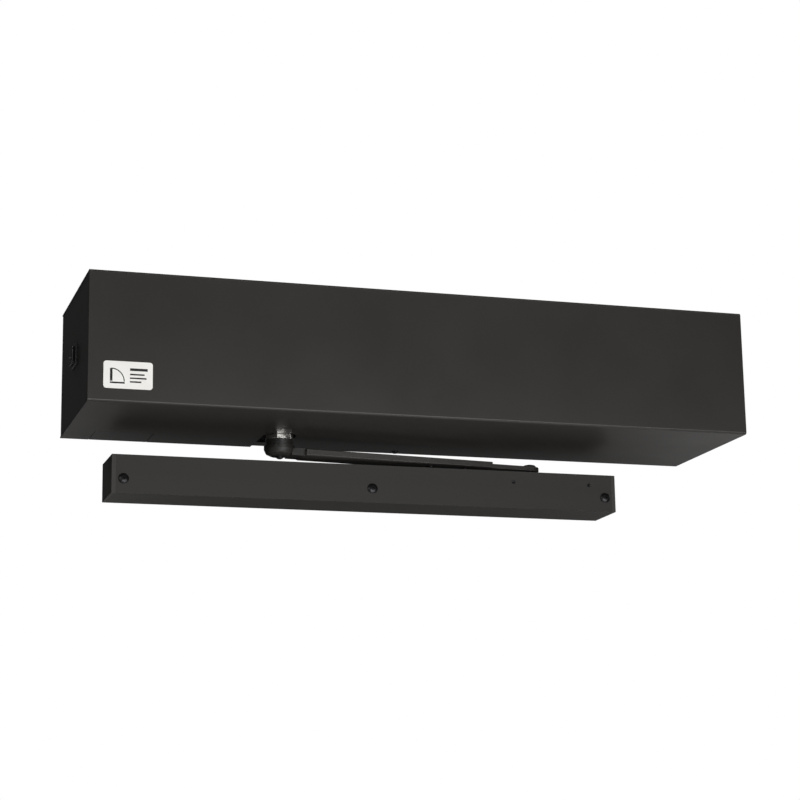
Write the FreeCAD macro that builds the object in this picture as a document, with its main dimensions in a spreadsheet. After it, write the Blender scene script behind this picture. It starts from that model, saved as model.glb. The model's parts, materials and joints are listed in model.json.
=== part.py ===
import FreeCAD, Part
import Sketcher
import math
import os
import re

# Low-energy power door operator: a header casing that holds a spring door closer driven by a
# gearmotor, a lever arm under it, and a slide track that is screwed to the door.
# Frame: X along the header, +Y into the wall, +Z up; the origin is the centre of the four wall
# bolts, on the wall face.  Millimetres.

Vector = FreeCAD.Vector
Rotation = FreeCAD.Rotation

SIZES = {
    # header casing
    "header_length": 686.0,
    "header_depth": 177.0,
    "header_height": 130.0,
    "cover_wall": 1.6,
    "cover_bend": 2.4,
    "back_wall": 2.5,
    "lip_depth": 18.0,
    "lip_setback": 22.0,
    "cap_wall": 2.0,
    "cap_inset": 0.5,
    "cap_flange": 14.0,
    "cap_slip": 0.3,
    "cap_screw_from_edge": 28.0,
    # wall fixing and cable entry
    "bolt_span": 620.0,
    "bolt_rise": 76.0,
    "bolt_hole": 7.0,
    "conduit_hole": 22.2,
    "conduit_from_end": 121.0,
    "conduit_height": 30.0,
    # cut-outs in the floor of the cover
    "spindle_slot": 34.0,
    "infill_from_end": 29.0,
    "infill_width": 60.0,
    "infill_depth": 44.0,
    "infill_gap": 0.5,
    # small screws
    "screw_shank": 3.8,
    "screw_head": 7.6,
    "screw_head_rise": 2.2,
    "recess_width": 1.1,
    "recess_depth": 1.2,
    "screw_crown": 0.62,
    "recess_share": 0.5,
    "cover_screw_from_wall": 9.7,
    "cover_screw_from_centre": 12.0,
    # maker's plate
    "plate_width": 47.5,
    "plate_height": 26.8,
    "plate_wall": 0.8,
    "plate_corner": 3.0,
    "plate_from_end": 14.6,
    "plate_from_floor": 13.2,
    # rocker switch in the left end cap
    "switch_from_wall": 92.5,
    "switch_level": -1.5,
    "bezel_long": 28.0,
    "bezel_short": 21.0,
    "bezel_rise": 2.2,
    "bezel_rim": 2.4,
    "switch_body_depth": 24.0,
    "switch_hole_margin": 1.5,
    "rocker_gap": 0.4,
    "rocker_proud": 3.2,
    "rocker_dish": 1.6,
    "spade_width": 4.8,
    "spade_wall": 0.8,
    "spade_length": 8.0,
    "spade_spacing": 8.0,
    # closer: spindle position and casting
    "spindle_from_end": 216.0,
    "spindle_from_wall": 60.0,
    "casting_section": 56.0,
    "casting_before": 80.0,
    "casting_after": 184.0,
    "casting_corner": 6.0,
    "boss_diameter": 44.0,
    "boss_rise": 8.0,
    "seal_seat": 6.0,
    "bore_diameter": 40.0,
    "end_plug_depth": 9.0,
    "end_plug_flange": 3.0,
    "end_plug_rim": 4.0,
    "end_plug_socket": 14.0,
    "running_gap": 0.05,
    "side_gap": 0.3,
    "foot_length": 40.0,
    "foot_height": 46.0,
    "foot_root": 4.0,
    # spindle, pinion and rack piston
    "spindle_diameter": 15.0,
    "bush_diameter": 28.6,
    "bush_gap": 1.0,
    "spindle_top_rise": 18.0,
    "rack_module": 1.5,
    "rack_pinion_teeth": 16.0,
    "rack_pinion_height": 27.0,
    "gear_backlash": 0.16,
    "piston_wall": 14.0,
    "piston_side_gap": 1.5,
    "swing_limit": 150.0,
    # closer spring
    "spring_wire": 4.6,
    "spring_side_gap": 2.2,
    "spring_turns": 10.0,
    "spring_end_gap": 0.4,
    "adjuster_rod": 10.0,
    "adjuster_reach": 22.0,
    "adjuster_plate": 4.0,
    # regulating valves
    "valve_diameter": 8.0,
    "valve_spacing": 26.0,
    "valve_from_spindle": 52.0,
    "valve_depth": 5.0,
    # drive gear and gearmotor
    "drive_module": 1.5,
    "drive_gear_teeth": 54.0,
    "drive_pinion_teeth": 18.0,
    "drive_gear_height": 8.0,
    "drive_gear_level": 42.0,
    "drive_hub_diameter": 26.0,
    "drive_hub_rise": 4.0,
    "lightening_hole": 16.0,
    "lightening_ring": 54.0,
    "lightening_holes": 6.0,
    "motor_pinion_extra": 0.5,
    "gearbox_diameter": 46.0,
    "gearbox_height": 32.0,
    "motor_diameter": 42.0,
    "motor_height": 48.0,
    "motor_shaft": 8.0,
    "motor_boss": 20.0,
    "motor_boss_rise": 3.0,
    "motor_cap_rise": 3.0,
    "motor_cap_step": 10.0,
    "shaft_depth": 11.0,
    "shaft_end_gap": 1.0,
    "shaft_top_rise": 2.0,
    "bracket_wall": 3.0,
    "bracket_width": 66.0,
    "bracket_margin": 2.0,
    "bracket_boss_gap": 0.5,
    "bracket_screw_across": 50.0,
    "bracket_screw_along": 36.0,
    "gearbox_screw_across": 32.0,
    # power supply transformer
    "transformer_from_end": 45.0,
    "core_width": 54.0,
    "core_height": 46.0,
    "core_stack": 28.0,
    "core_leg": 18.0,
    "core_window": 9.0,
    "coil_bulge": 8.0,
    "coil_gap": 0.2,
    "coil_back_gap": 1.0,
    "strap_wall": 1.5,
    "strap_foot": 10.0,
    # control board
    "board_from_end": 108.0,
    "board_width": 140.0,
    "board_height": 100.0,
    "board_wall": 1.6,
    "standoff_diameter": 7.0,
    "standoff_height": 16.0,
    "board_margin": 5.0,
    "board_hole": 3.4,
    "board_screw_head": 6.0,
    "board_screw_rise": 1.8,
    "board_screw_shank": 3.0,
    # parts on the control board, placed from its left edge and its middle
    "relay_place": 16.0,
    "relay_spacing": 26.0,
    "relay_width": 20.0,
    "relay_depth": 16.0,
    "relay_height": 28.0,
    "relay_level": 14.0,
    "capacitor_place": 78.0,
    "capacitor_spacing": 18.0,
    "capacitor_diameter": 14.0,
    "capacitor_length": 25.0,
    "capacitor_level": 28.0,
    "strip_margin": 14.0,
    "strip_depth": 12.0,
    "strip_height": 11.0,
    "strip_from_floor": 3.0,
    "strip_ways": 14.0,
    "strip_way_diameter": 4.0,
    "strip_way_depth": 5.0,
    "sink_place": 16.0,
    "sink_width": 52.0,
    "sink_height": 30.0,
    "sink_level": -28.0,
    "sink_base": 4.0,
    "sink_depth": 18.0,
    "fin_pitch": 7.0,
    "fin_wall": 3.0,
    "dial_place": 80.0,
    "dial_spacing": 13.0,
    "dial_side": 9.5,
    "dial_depth": 5.0,
    "dial_level": -14.0,
    "dial_knob": 6.0,
    "dial_knob_rise": 1.6,
    "dial_slot_depth": 0.6,
    "dial_slot_width": 1.0,
    "dial_slot_length": 4.5,
    "socket_place": 2.0,
    "socket_width": 8.0,
    "socket_depth": 9.0,
    "socket_height": 14.0,
    "socket_level": -2.0,
    # leads inside the header
    "motor_lead_diameter": 5.0,
    "switch_lead_diameter": 4.0,
    # lever arm
    "arm_reach": 286.0,
    "collar_width": 30.0,
    "collar_drop": 4.6,
    "collar_rise": 4.0,
    "hub_neck_diameter": 28.8,
    "hub_neck_height": 6.4,
    "hub_diameter": 32.4,
    "hub_height": 16.4,
    "hub_round": 6.4,
    "hub_groove": 0.8,
    "neck_width": 22.0,
    "neck_height": 5.4,
    "sleeve_start": 24.0,
    "sleeve_width": 31.0,
    "sleeve_height": 7.0,
    "sleeve_drop": 0.2,
    "sleeve_bevel": 1.6,
    "sleeve_pocket": 92.0,
    "spigot_length": 28.0,
    "slide_gap": 0.1,
    "rod_width": 20.0,
    "rod_height": 4.6,
    "rod_overlap": 84.0,
    "rod_exposed": 51.0,
    "clamp_screw_head": 8.6,
    "clamp_screw_rise": 2.2,
    "clamp_screw_shank": 4.8,
    "clamp_screw_spacing": 40.0,
    "hub_screw_head": 8.0,
    "hub_screw_rise": 3.2,
    "hub_screw_shank": 6.0,
    "hub_screw_length": 16.0,
    "hub_screw_end_gap": 2.0,
    "spindle_reach": 0.55,
    # pivot stud and slide shoe
    "stud_head": 14.6,
    "stud_head_rise": 3.3,
    "stud_diameter": 8.0,
    "stud_depth": 20.0,
    "shoe_length": 44.0,
    "shoe_gap": 0.3,
    "shoe_corner": 3.0,
    # slide track
    "track_length": 543.0,
    "track_depth": 57.0,
    "track_height": 39.6,
    "track_drop": 25.4,
    "track_from_end": 44.0,
    "track_wall": 2.2,
    "track_web_level": 20.0,
    "guide_width": 22.0,
    "guide_rib": 1.8,
    "track_slot": 12.0,
    "track_cap_wall": 4.0,
    "spigot_depth": 8.0,
    "track_screw_head": 10.6,
    "track_screw_rise": 2.6,
    "track_screw_neck": 4.2,
    "track_screw_thread": 4.8,
    "track_screw_hole": 5.2,
    "track_screw_level": 14.7,
    "track_screw_from_end": 12.0,
    "track_screw_proud": 20.0,
    "stop_length": 40.0,
    "stop_from_end": 4.5,
    "bumper_length": 8.0,
    "stop_screw": 4.0,
    "stop_screw_socket": 2.3,
    "stop_screw_socket_depth": 2.4,
    "stop_screw_sunk": 0.6,
    "stop_screw_bite": 4.0,
    "stop_screw_spare_gap": 0.5,
    "bumper_margin": 2.0,
    "stop_screw_level": 28.0,
    "stop_screw_from_end": 30.4,
    "stop_spare_from_end": 115.8,
}

doc = FreeCAD.newDocument("door_operator")
sheet = doc.addObject("Spreadsheet::Sheet", "Sizes")
for row, (alias, number) in enumerate(SIZES.items(), start=1):
    sheet.set("A%d" % row, alias)
    sheet.set("B%d" % row, str(number))
    sheet.setAlias("B%d" % row, alias)
doc.recompute()

NODES = []

# ---------------------------------------------------------------- derived places and sizes
END_X = "(header_length / 2)"
HALF_RISE = "(header_height / 2)"
CAP_FACE = "(header_length / 2 - cap_inset)"
COVER_INNER = "(header_height / 2 - cover_wall)"
SPINDLE_X = "(spindle_from_end - header_length / 2)"
SPINDLE_Y = "(-spindle_from_wall)"
CASTING_LEFT = "(%s - casting_before)" % SPINDLE_X
CASTING_RIGHT = "(%s + casting_after)" % SPINDLE_X
CASTING_HALF = "(casting_section / 2)"
BOSS_TOP = "(casting_section / 2 + boss_rise)"
BUSH_HEIGHT = "(casting_section / 2 + boss_rise - bore_diameter / 2 - bush_gap)"
SPRING_MEAN = "(bore_diameter - spring_wire - 2 * spring_side_gap)"
PITCH_RADIUS = "(rack_module * rack_pinion_teeth / 2)"
TIP_RADIUS = "(rack_module * (rack_pinion_teeth / 2 + 1))"
PISTON_TRAVEL = "(rack_module * rack_pinion_teeth / 2 * swing_limit * pi / 180)"
SLOT_LEFT = "(%s - %s - piston_side_gap - %s)" % (SPINDLE_X, TIP_RADIUS, PISTON_TRAVEL)
SLOT_RIGHT = "(%s + %s + piston_side_gap)" % (SPINDLE_X, TIP_RADIUS)
PISTON_LEFT = "(%s - piston_wall)" % SLOT_LEFT
PISTON_RIGHT = "(%s + piston_wall)" % SLOT_RIGHT
RACK_ROOT = "(1.25 * rack_module)"
DRIVE_SPACING = "(drive_module * (drive_gear_teeth + drive_pinion_teeth) / 2)"
MOTOR_Y = "(%s - %s)" % (SPINDLE_Y, DRIVE_SPACING)
HUB_TOP = "(-header_height / 2 - collar_drop)"
HUB_BOTTOM = "(-header_height / 2 - collar_drop - hub_height)"
SLEEVE_BOTTOM = "(%s - sleeve_drop)" % HUB_BOTTOM
SLEEVE_LENGTH = "(arm_reach - sleeve_start - rod_exposed)"
SLEEVE_END = "(arm_reach - rod_exposed)"
SLEEVE_MIDDLE = "(%s + sleeve_height / 2)" % SLEEVE_BOTTOM
TRACK_TOP = "(-header_height / 2 - track_drop)"
TRACK_BOTTOM = "(-header_height / 2 - track_drop - track_height)"
TRACK_LEFT = "(track_from_end - header_length / 2)"
TRACK_RIGHT = "(track_from_end + track_length - header_length / 2)"
TRACK_MIDDLE = "(-track_depth / 2)"
ARM_OFFSET = "(spindle_from_wall - track_depth / 2)"
STUD_X = "(%s + sqrt(arm_reach ^ 2 - %s ^ 2))" % (SPINDLE_X, ARM_OFFSET)
ARM_ANGLE = "asin(%s / arm_reach)" % ARM_OFFSET
SHOE_TOP = "(%s - track_wall - shoe_gap)" % TRACK_TOP
SHOE_BOTTOM = "(%s + track_web_level + shoe_gap)" % TRACK_BOTTOM
BOARD_LEFT = "(header_length / 2 - board_from_end - board_width)"
BOARD_FACE = "(-back_wall - standoff_height - board_wall)"
SWITCH_Y = "(-switch_from_wall)"
SPINDLE_FOOT = "(%s - hub_height * spindle_reach)" % HUB_TOP
CAP_DEPTH = "(header_depth - cover_wall - cap_slip - back_wall)"
CAP_RISE = "(header_height - 2 * cover_wall - 2 * cap_slip)"
CAP_SCREW_LEVEL = "(header_height / 2 - cap_screw_from_edge)"
TRANSFORMER_LEFT = "(transformer_from_end - header_length / 2)"
TRANSFORMER_MIDDLE = "(transformer_from_end + core_width / 2 - header_length / 2)"
TRANSFORMER_FRONT = "(-back_wall - coil_bulge - coil_back_gap - core_stack)"
CUT_OVER = "1"


# ---------------------------------------------------------------- helpers
def full(text):
    """The expression with every size name pointing at the sheet."""
    pattern = r"[A-Za-z_]+"
    return re.sub(pattern, lambda word: sheet.Name + "." + word[0] if word[0] in SIZES else word[0], text)


def value(text):
    """The expression's number."""
    result = sheet.evalExpression(full(text))
    return float(getattr(result, "Value", result))


def bind(obj, **properties):
    for name, text in properties.items():
        obj.setExpression(name, full(text))
    return obj


def put(obj, x="0", y="0", z="0"):
    for letter, text in zip("xyz", (x, y, z)):
        obj.setExpression("Placement.Base." + letter, full(text))
    return obj


def turn_about_z(obj, angle):
    """Turn about the upright through the object's own origin."""
    obj.Placement.Rotation = Rotation(Vector(0, 0, 1), value(angle))
    obj.setExpression("Placement.Rotation.Angle", full(angle))
    return obj


AXIS_TURN = {
    "x": Rotation(Vector(0, 1, 0), 90),
    "y": Rotation(Vector(1, 0, 0), -90),
    "z": Rotation(),
    "-x": Rotation(Vector(0, 1, 0), -90),
    "-y": Rotation(Vector(1, 0, 0), 90),
    "-z": Rotation(Vector(1, 0, 0), 180),
}


def block(x, y, z, length, depth, rise):
    """Box from its low corner."""
    obj = doc.addObject("Part::Box", "block")
    bind(obj, Length=length, Width=depth, Height=rise)
    return put(obj, x, y, z)


def bar(x, y, z, diameter, length, axis="z"):
    """Cylinder from the centre of its first end, running along the axis."""
    obj = doc.addObject("Part::Cylinder", "bar")
    bind(obj, Radius="(%s) / 2" % diameter, Height=length)
    obj.Placement.Rotation = AXIS_TURN[axis]
    return put(obj, x, y, z)


def taper(x, y, z, first, last, length, axis="z"):
    """Cone between two diameters."""
    obj = doc.addObject("Part::Cone", "taper")
    bind(obj, Radius1="(%s) / 2" % first, Radius2="(%s) / 2" % last, Height=length)
    obj.Placement.Rotation = AXIS_TURN[axis]
    return put(obj, x, y, z)


def hexagon(x, y, z, across, length, axis="z"):
    """Six-sided prism of a given size across its corners."""
    obj = doc.addObject("Part::Prism", "hexagon")
    obj.Polygon = 6
    bind(obj, Circumradius="(%s) / 2" % across, Height=length)
    obj.Placement.Rotation = AXIS_TURN[axis]
    return put(obj, x, y, z)


def join(*pieces):
    if len(pieces) == 1:
        return pieces[0]
    obj = doc.addObject("Part::MultiFuse", "join")
    obj.Shapes = list(pieces)
    obj.Refine = True
    return obj


def cut(base, *tools):
    obj = doc.addObject("Part::Cut", "cut")
    obj.Base = base
    obj.Tool = join(*tools)
    obj.Refine = True
    return obj


def round_edges(base, radius, wanted):
    """Round the edges whose bounding box passes the test."""
    doc.recompute()
    obj = doc.addObject("Part::Fillet", "round")
    obj.Base = base
    size = value(radius)
    numbers = [i for i, edge in enumerate(base.Shape.Edges, start=1) if wanted(edge.BoundBox)]
    obj.Edges = [(i, size, size) for i in numbers]
    base.Visibility = False
    return obj


def node(label, obj):
    """Name the finished sub-part."""
    obj.Label = label
    NODES.append(obj)
    return obj


def feature(label, shape):
    """Sub-part whose shape is worked out in code from the sheet's sizes."""
    obj = doc.addObject("Part::Feature", label)
    obj.Shape = shape
    obj.Placement = FreeCAD.Placement()
    return node(label, obj)


def new_body(label):
    obj = doc.addObject("PartDesign::Body", label)
    return node(label, obj)


def sketch_on(body, role, name):
    """Empty sketch on one of the body's own origin planes."""
    sketch = body.newObject("Sketcher::SketchObject", name)
    plane = next(item for item in body.Origin.OriginFeatures if item.Role == role)
    sketch.AttachmentSupport = [(plane, "")]
    sketch.MapMode = "FlatFace"
    return sketch


def fix_point(sketch, geometry, end, across, up):
    """Hold a sketch point at (across, up); a zero puts it on the sketch's axis."""
    for kind, axis, text in (("DistanceX", -2, across), ("DistanceY", -1, up)):
        number = value(text)
        if abs(number) < 1e-9:
            sketch.addConstraint(Sketcher.Constraint("PointOnObject", geometry, end, axis))
            continue
        index = sketch.addConstraint(Sketcher.Constraint(kind, -1, 1, geometry, end, number))
        sketch.setExpression("Constraints[%d]" % index, full(text))


def outline(sketch, points):
    """Closed outline of straight sides through (across, up) points."""
    corners = [Vector(value(a), value(b), 0) for a, b in points]
    first = sketch.GeometryCount
    count = len(corners)
    for i in range(count):
        sketch.addGeometry(Part.LineSegment(corners[i], corners[(i + 1) % count]), False)
    for i in range(count):
        after = first + (i + 1) % count
        sketch.addConstraint(Sketcher.Constraint("Coincident", first + i, 2, after, 1))
    for i, (across, up) in enumerate(points):
        fix_point(sketch, first + i, 1, across, up)


def rectangle(sketch, left, right, low, high):
    outline(sketch, [(left, low), (right, low), (right, high), (left, high)])


def ring(sketch, across, up, diameter):
    """Circle of a given diameter."""
    centre = Vector(value(across), value(up), 0)
    index = sketch.addGeometry(Part.Circle(centre, Vector(0, 0, 1), value(diameter) / 2), False)
    fix_point(sketch, index, 3, across, up)
    size = sketch.addConstraint(Sketcher.Constraint("Diameter", index, value(diameter)))
    sketch.setExpression("Constraints[%d]" % size, full(diameter))


def pad(body, sketch, length, backwards=False):
    doc.recompute()
    obj = body.newObject("PartDesign::Pad", "Pad")
    obj.Profile = sketch
    obj.Reversed = backwards
    bind(obj, Length=length)
    doc.recompute()
    return obj


def pocket(body, sketch, length, backwards=False):
    """Pocket that has to take something away."""
    before = body.Shape.Volume
    obj = body.newObject("PartDesign::Pocket", "Pocket")
    obj.Profile = sketch
    obj.Reversed = backwards
    bind(obj, Length=length)
    doc.recompute()
    if body.Shape.Volume >= before:
        raise RuntimeError("pocket in %s cuts nothing" % body.Label)
    return obj


def soften(body, radius, wanted):
    """Fillet feature on the edges of the body whose bounding box passes the test."""
    base = body.Tip
    obj = body.newObject("PartDesign::Fillet", "Fillet")
    names = ["Edge%d" % i for i, edge in enumerate(base.Shape.Edges, start=1) if wanted(edge.BoundBox)]
    obj.Base = (base, names)
    bind(obj, Radius=radius)
    doc.recompute()
    return obj


def turned(label, points, x, y):
    """Body of revolution about the upright at (x, y), from (radius, height) points."""
    body = new_body(label)
    sketch = sketch_on(body, "XZ_Plane", "Section")
    outline(sketch, points)
    doc.recompute()
    obj = body.newObject("PartDesign::Revolution", "Revolution")
    obj.Profile = sketch
    obj.ReferenceAxis = (sketch, ["V_Axis"])
    obj.Angle = 360
    doc.recompute()
    put(body, x, y, "0")
    return body


def cross_screw(x, y, z, axis, head, rise, shank, length):
    """Pan-head screw: the head stands against the axis direction, the shank runs along it."""
    back = axis[1:] if axis.startswith("-") else "-" + axis
    top = taper(x, y, z, head, "(%s) * screw_crown" % head, rise, back)
    stem = bar(x, y, z, shank, length, axis)
    return cut(join(top, stem), *cross_recess(x, y, z, axis, head, rise))


def cross_recess(x, y, z, axis, head, rise):
    """Two crossed slots in the top of a screw head."""
    sign = "+" if axis.startswith("-") else "-"
    along = axis[-1]
    across = [name for name in "xyz" if name != along]
    centre = {"x": x, "y": y, "z": z}
    centre[along] = "(%s %s (%s))" % (centre[along], sign, rise)
    slots = []
    for long_side in across:
        spans = dict.fromkeys("xyz", "recess_width")
        spans[long_side] = "((%s) * recess_share)" % head
        spans[along] = "recess_depth * 2"
        low = ["(%s - (%s) / 2)" % (centre[name], spans[name]) for name in "xyz"]
        slots.append(block(*low, spans["x"], spans["y"], spans["z"]))
    return slots


def polar(radius, angle):
    return Vector(radius * math.cos(angle), radius * math.sin(angle), 0)


def gear_face(module, teeth, backlash, tooth_angle):
    """Face of an external spur gear, with involute flanks and a tooth centred on tooth_angle."""
    pressure = math.radians(20)
    pitch = module * teeth / 2
    base = pitch * math.cos(pressure)
    root = pitch - 1.25 * module
    tip = pitch + module
    half = math.pi / (2 * teeth) - backlash / (2 * pitch)
    at_pitch = math.tan(pressure) - pressure
    points = []
    for tooth in range(int(teeth)):
        centre = tooth_angle + 2 * math.pi * tooth / teeth
        flank = []
        for step in range(5):
            radius = max(base, root) + (tip - max(base, root)) * step / 4
            roll = math.acos(min(1.0, base / radius))
            flank.append((radius, half + at_pitch - (math.tan(roll) - roll)))
        flank.insert(0, (root, flank[0][1]))
        points += [polar(radius, centre - angle) for radius, angle in flank]
        points += [polar(radius, centre + angle) for radius, angle in reversed(flank)]
    points.append(points[0])
    return Part.Face(Part.makePolygon(points))


def gear_solid(module, teeth, tooth_angle, height, x, y, z):
    face = gear_face(module, teeth, value("gear_backlash"), tooth_angle)
    solid = face.extrude(Vector(0, 0, height))
    solid.translate(Vector(x, y, z))
    return solid


def cylinder(x, y, z, diameter, length, direction=Vector(0, 0, 1)):
    return Part.makeCylinder(diameter / 2, length, Vector(x, y, z), direction)


def rounded_path(points):
    """Wire of straight runs joined by tangent arcs."""
    corners = [Vector(*point) for point in points]
    edges = []
    start = corners[0]
    for before, corner, after in zip(corners, corners[1:], corners[2:]):
        back = before - corner
        ahead = after - corner
        shorter = min(back.Length, ahead.Length)
        leg = 0.45 * shorter
        first = corner + back.normalize() * leg
        last = corner + ahead.normalize() * leg
        turn = math.pi - back.getAngle(ahead)
        radius = leg / math.tan(turn / 2)
        inward = (back + ahead).normalize()
        middle = corner + inward * (radius / math.cos(turn / 2) - radius)
        edges.append(Part.LineSegment(start, first).toShape())
        edges.append(Part.Arc(first, middle, last).toShape())
        start = last
    edges.append(Part.LineSegment(start, corners[-1]).toShape())
    return Part.Wire(edges)


def lead(label, points, diameter):
    """Round lead along a route."""
    path = rounded_path(points)
    start = Vector(*points[0])
    section = Part.Wire(Part.Circle(start, Vector(*points[1]) - start, diameter / 2).toShape())
    return feature(label, path.makePipeShell([section], True, True))


# ---------------------------------------------------------------- header casing
def build_back_plate():
    """Folded steel plate: a web on the wall and a lip along its top and bottom."""
    body = new_body("back_plate")
    web = sketch_on(body, "XZ_Plane", "Web")
    rectangle(web, "-" + CAP_FACE, CAP_FACE, "-" + COVER_INNER, COVER_INNER)
    pad(body, web, "back_wall")
    for side in ("-", ""):
        lip = sketch_on(body, "XZ_Plane", "Lip")
        inner = "%s(%s - back_wall)" % (side, COVER_INNER)
        outer = "%s%s" % (side, COVER_INNER)
        low, high = (outer, inner) if side else (inner, outer)
        rectangle(lip, "-(%s - lip_setback)" % CAP_FACE, "%s - lip_setback" % CAP_FACE, low, high)
        pad(body, lip, "lip_depth")
    holes = sketch_on(body, "XZ_Plane", "Holes")
    for across in ("-bolt_span / 2", "bolt_span / 2"):
        for up in ("-bolt_rise / 2", "bolt_rise / 2"):
            ring(holes, across, up, "bolt_hole")
    ring(holes, "conduit_from_end - header_length / 2", "conduit_height", "conduit_hole")
    pocket(body, holes, "back_wall", backwards=True)


def build_cover():
    """One bent sheet: top, front and floor, open at the back and both ends."""
    outer = block(
        "-" + END_X, "-header_depth", "-" + HALF_RISE,
        "header_length", "header_depth", "header_height",
    )
    inner = block(
        "-header_length", "-header_depth + cover_wall", "-" + COVER_INNER,
        "header_length * 2", "header_depth * 2", "header_height - 2 * cover_wall",
    )
    folded = cut(outer, inner)
    front = value("-header_depth")
    wall = value("cover_wall")

    def long_edge_at(depth):
        def test(box):
            return box.XLength > 10 and abs(box.YMin - depth) < 0.01 and abs(box.YMax - depth) < 0.01
        return test

    outside = round_edges(folded, "cover_bend", long_edge_at(front))
    shell = round_edges(outside, "cover_bend - cover_wall", long_edge_at(front + wall))
    low = "-%s - cover_wall" % HALF_RISE
    through = "cover_wall * 3"
    notch = block(
        "%s - spindle_slot / 2" % SPINDLE_X, SPINDLE_Y, low,
        "spindle_slot", "spindle_from_wall * 2", through,
    )
    notch_end = bar(SPINDLE_X, SPINDLE_Y, low, "spindle_slot", through)
    infill = block(
        "infill_from_end - header_length / 2", "-infill_depth", low,
        "infill_width", "infill_depth * 2", through,
    )
    hole = bar(
        "cover_screw_from_centre", "-cover_screw_from_wall", "-header_height",
        "screw_shank + cap_slip", "header_height * 2",
    )
    node("cover", cut(shell, notch, notch_end, infill, hole))


def build_cover_infill():
    """Blanking plate that closes the square cut-out in the floor of the cover."""
    plate = block(
        "infill_from_end - header_length / 2 + infill_gap",
        "-infill_depth + infill_gap",
        "-" + HALF_RISE,
        "infill_width - 2 * infill_gap",
        "infill_depth - infill_gap",
        "cover_wall",
    )
    node("cover_infill", plate)


def build_end_caps():
    """Pressed end caps: trays whose flanges point inwards; the left one takes the switch."""
    for side, sign in (("left", "-"), ("right", "")):
        low_x = "-" + CAP_FACE if sign else "(%s - cap_flange)" % CAP_FACE
        hollow_x = "(%s + cap_wall)" % low_x if sign else "(%s - %s)" % (low_x, CUT_OVER)
        tray = block(
            low_x, "-back_wall - " + CAP_DEPTH, "-%s / 2" % CAP_RISE,
            "cap_flange", CAP_DEPTH, CAP_RISE,
        )
        hollow = block(
            hollow_x, "-back_wall - %s + cap_wall" % CAP_DEPTH, "-%s / 2 + cap_wall" % CAP_RISE,
            "cap_flange - cap_wall + " + CUT_OVER,
            CAP_DEPTH + " - 2 * cap_wall",
            CAP_RISE + " - 2 * cap_wall",
        )
        screw_x = "%s(%s - cap_flange / 2)" % (sign, CAP_FACE)
        tools = [hollow]
        for level in ("-", ""):
            tools.append(bar(
                screw_x, "-back_wall - cap_wall * 2", level + CAP_SCREW_LEVEL,
                "screw_shank + cap_slip", "cap_wall * 3", "y",
            ))
        if side == "left":
            tools.append(block(
                "-%s - %s" % (CAP_FACE, CUT_OVER),
                "%s - bezel_long / 2 + switch_hole_margin" % SWITCH_Y,
                "switch_level - bezel_short / 2 + switch_hole_margin",
                "cap_wall * 3",
                "bezel_long - 2 * switch_hole_margin",
                "bezel_short - 2 * switch_hole_margin",
            ))
        node("end_cap_" + side, cut(tray, *tools))


def build_casing_screws():
    """Screws that hold the end caps to the back plate, and the cover to its lips."""
    screws = []
    for side in ("-", ""):
        for level in ("-", ""):
            screws.append(cross_screw(
                "%s(%s - cap_flange / 2)" % (side, CAP_FACE),
                "-back_wall - cap_wall",
                level + CAP_SCREW_LEVEL,
                "y",
                "screw_head", "screw_head_rise", "screw_shank", "cap_wall",
            ))
    node("end_cap_screws", join(*screws))
    through_cover = [
        cross_screw(
            "cover_screw_from_centre", "-cover_screw_from_wall", level, axis,
            "screw_head", "screw_head_rise", "screw_shank", "cover_wall",
        )
        for level, axis in (("-" + HALF_RISE, "z"), (HALF_RISE, "-z"))
    ]
    node("cover_screws", join(*through_cover))


def build_maker_plate():
    """Thin plate with rounded corners on the front of the cover."""
    plate = block(
        "plate_from_end - header_length / 2", "-header_depth - plate_wall",
        "plate_from_floor - header_height / 2",
        "plate_width", "plate_wall", "plate_height",
    )

    def is_corner(box):
        return box.YLength > 0.1 and box.XLength + box.ZLength < 0.01

    node("maker_plate", round_edges(plate, "plate_corner", is_corner))


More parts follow.
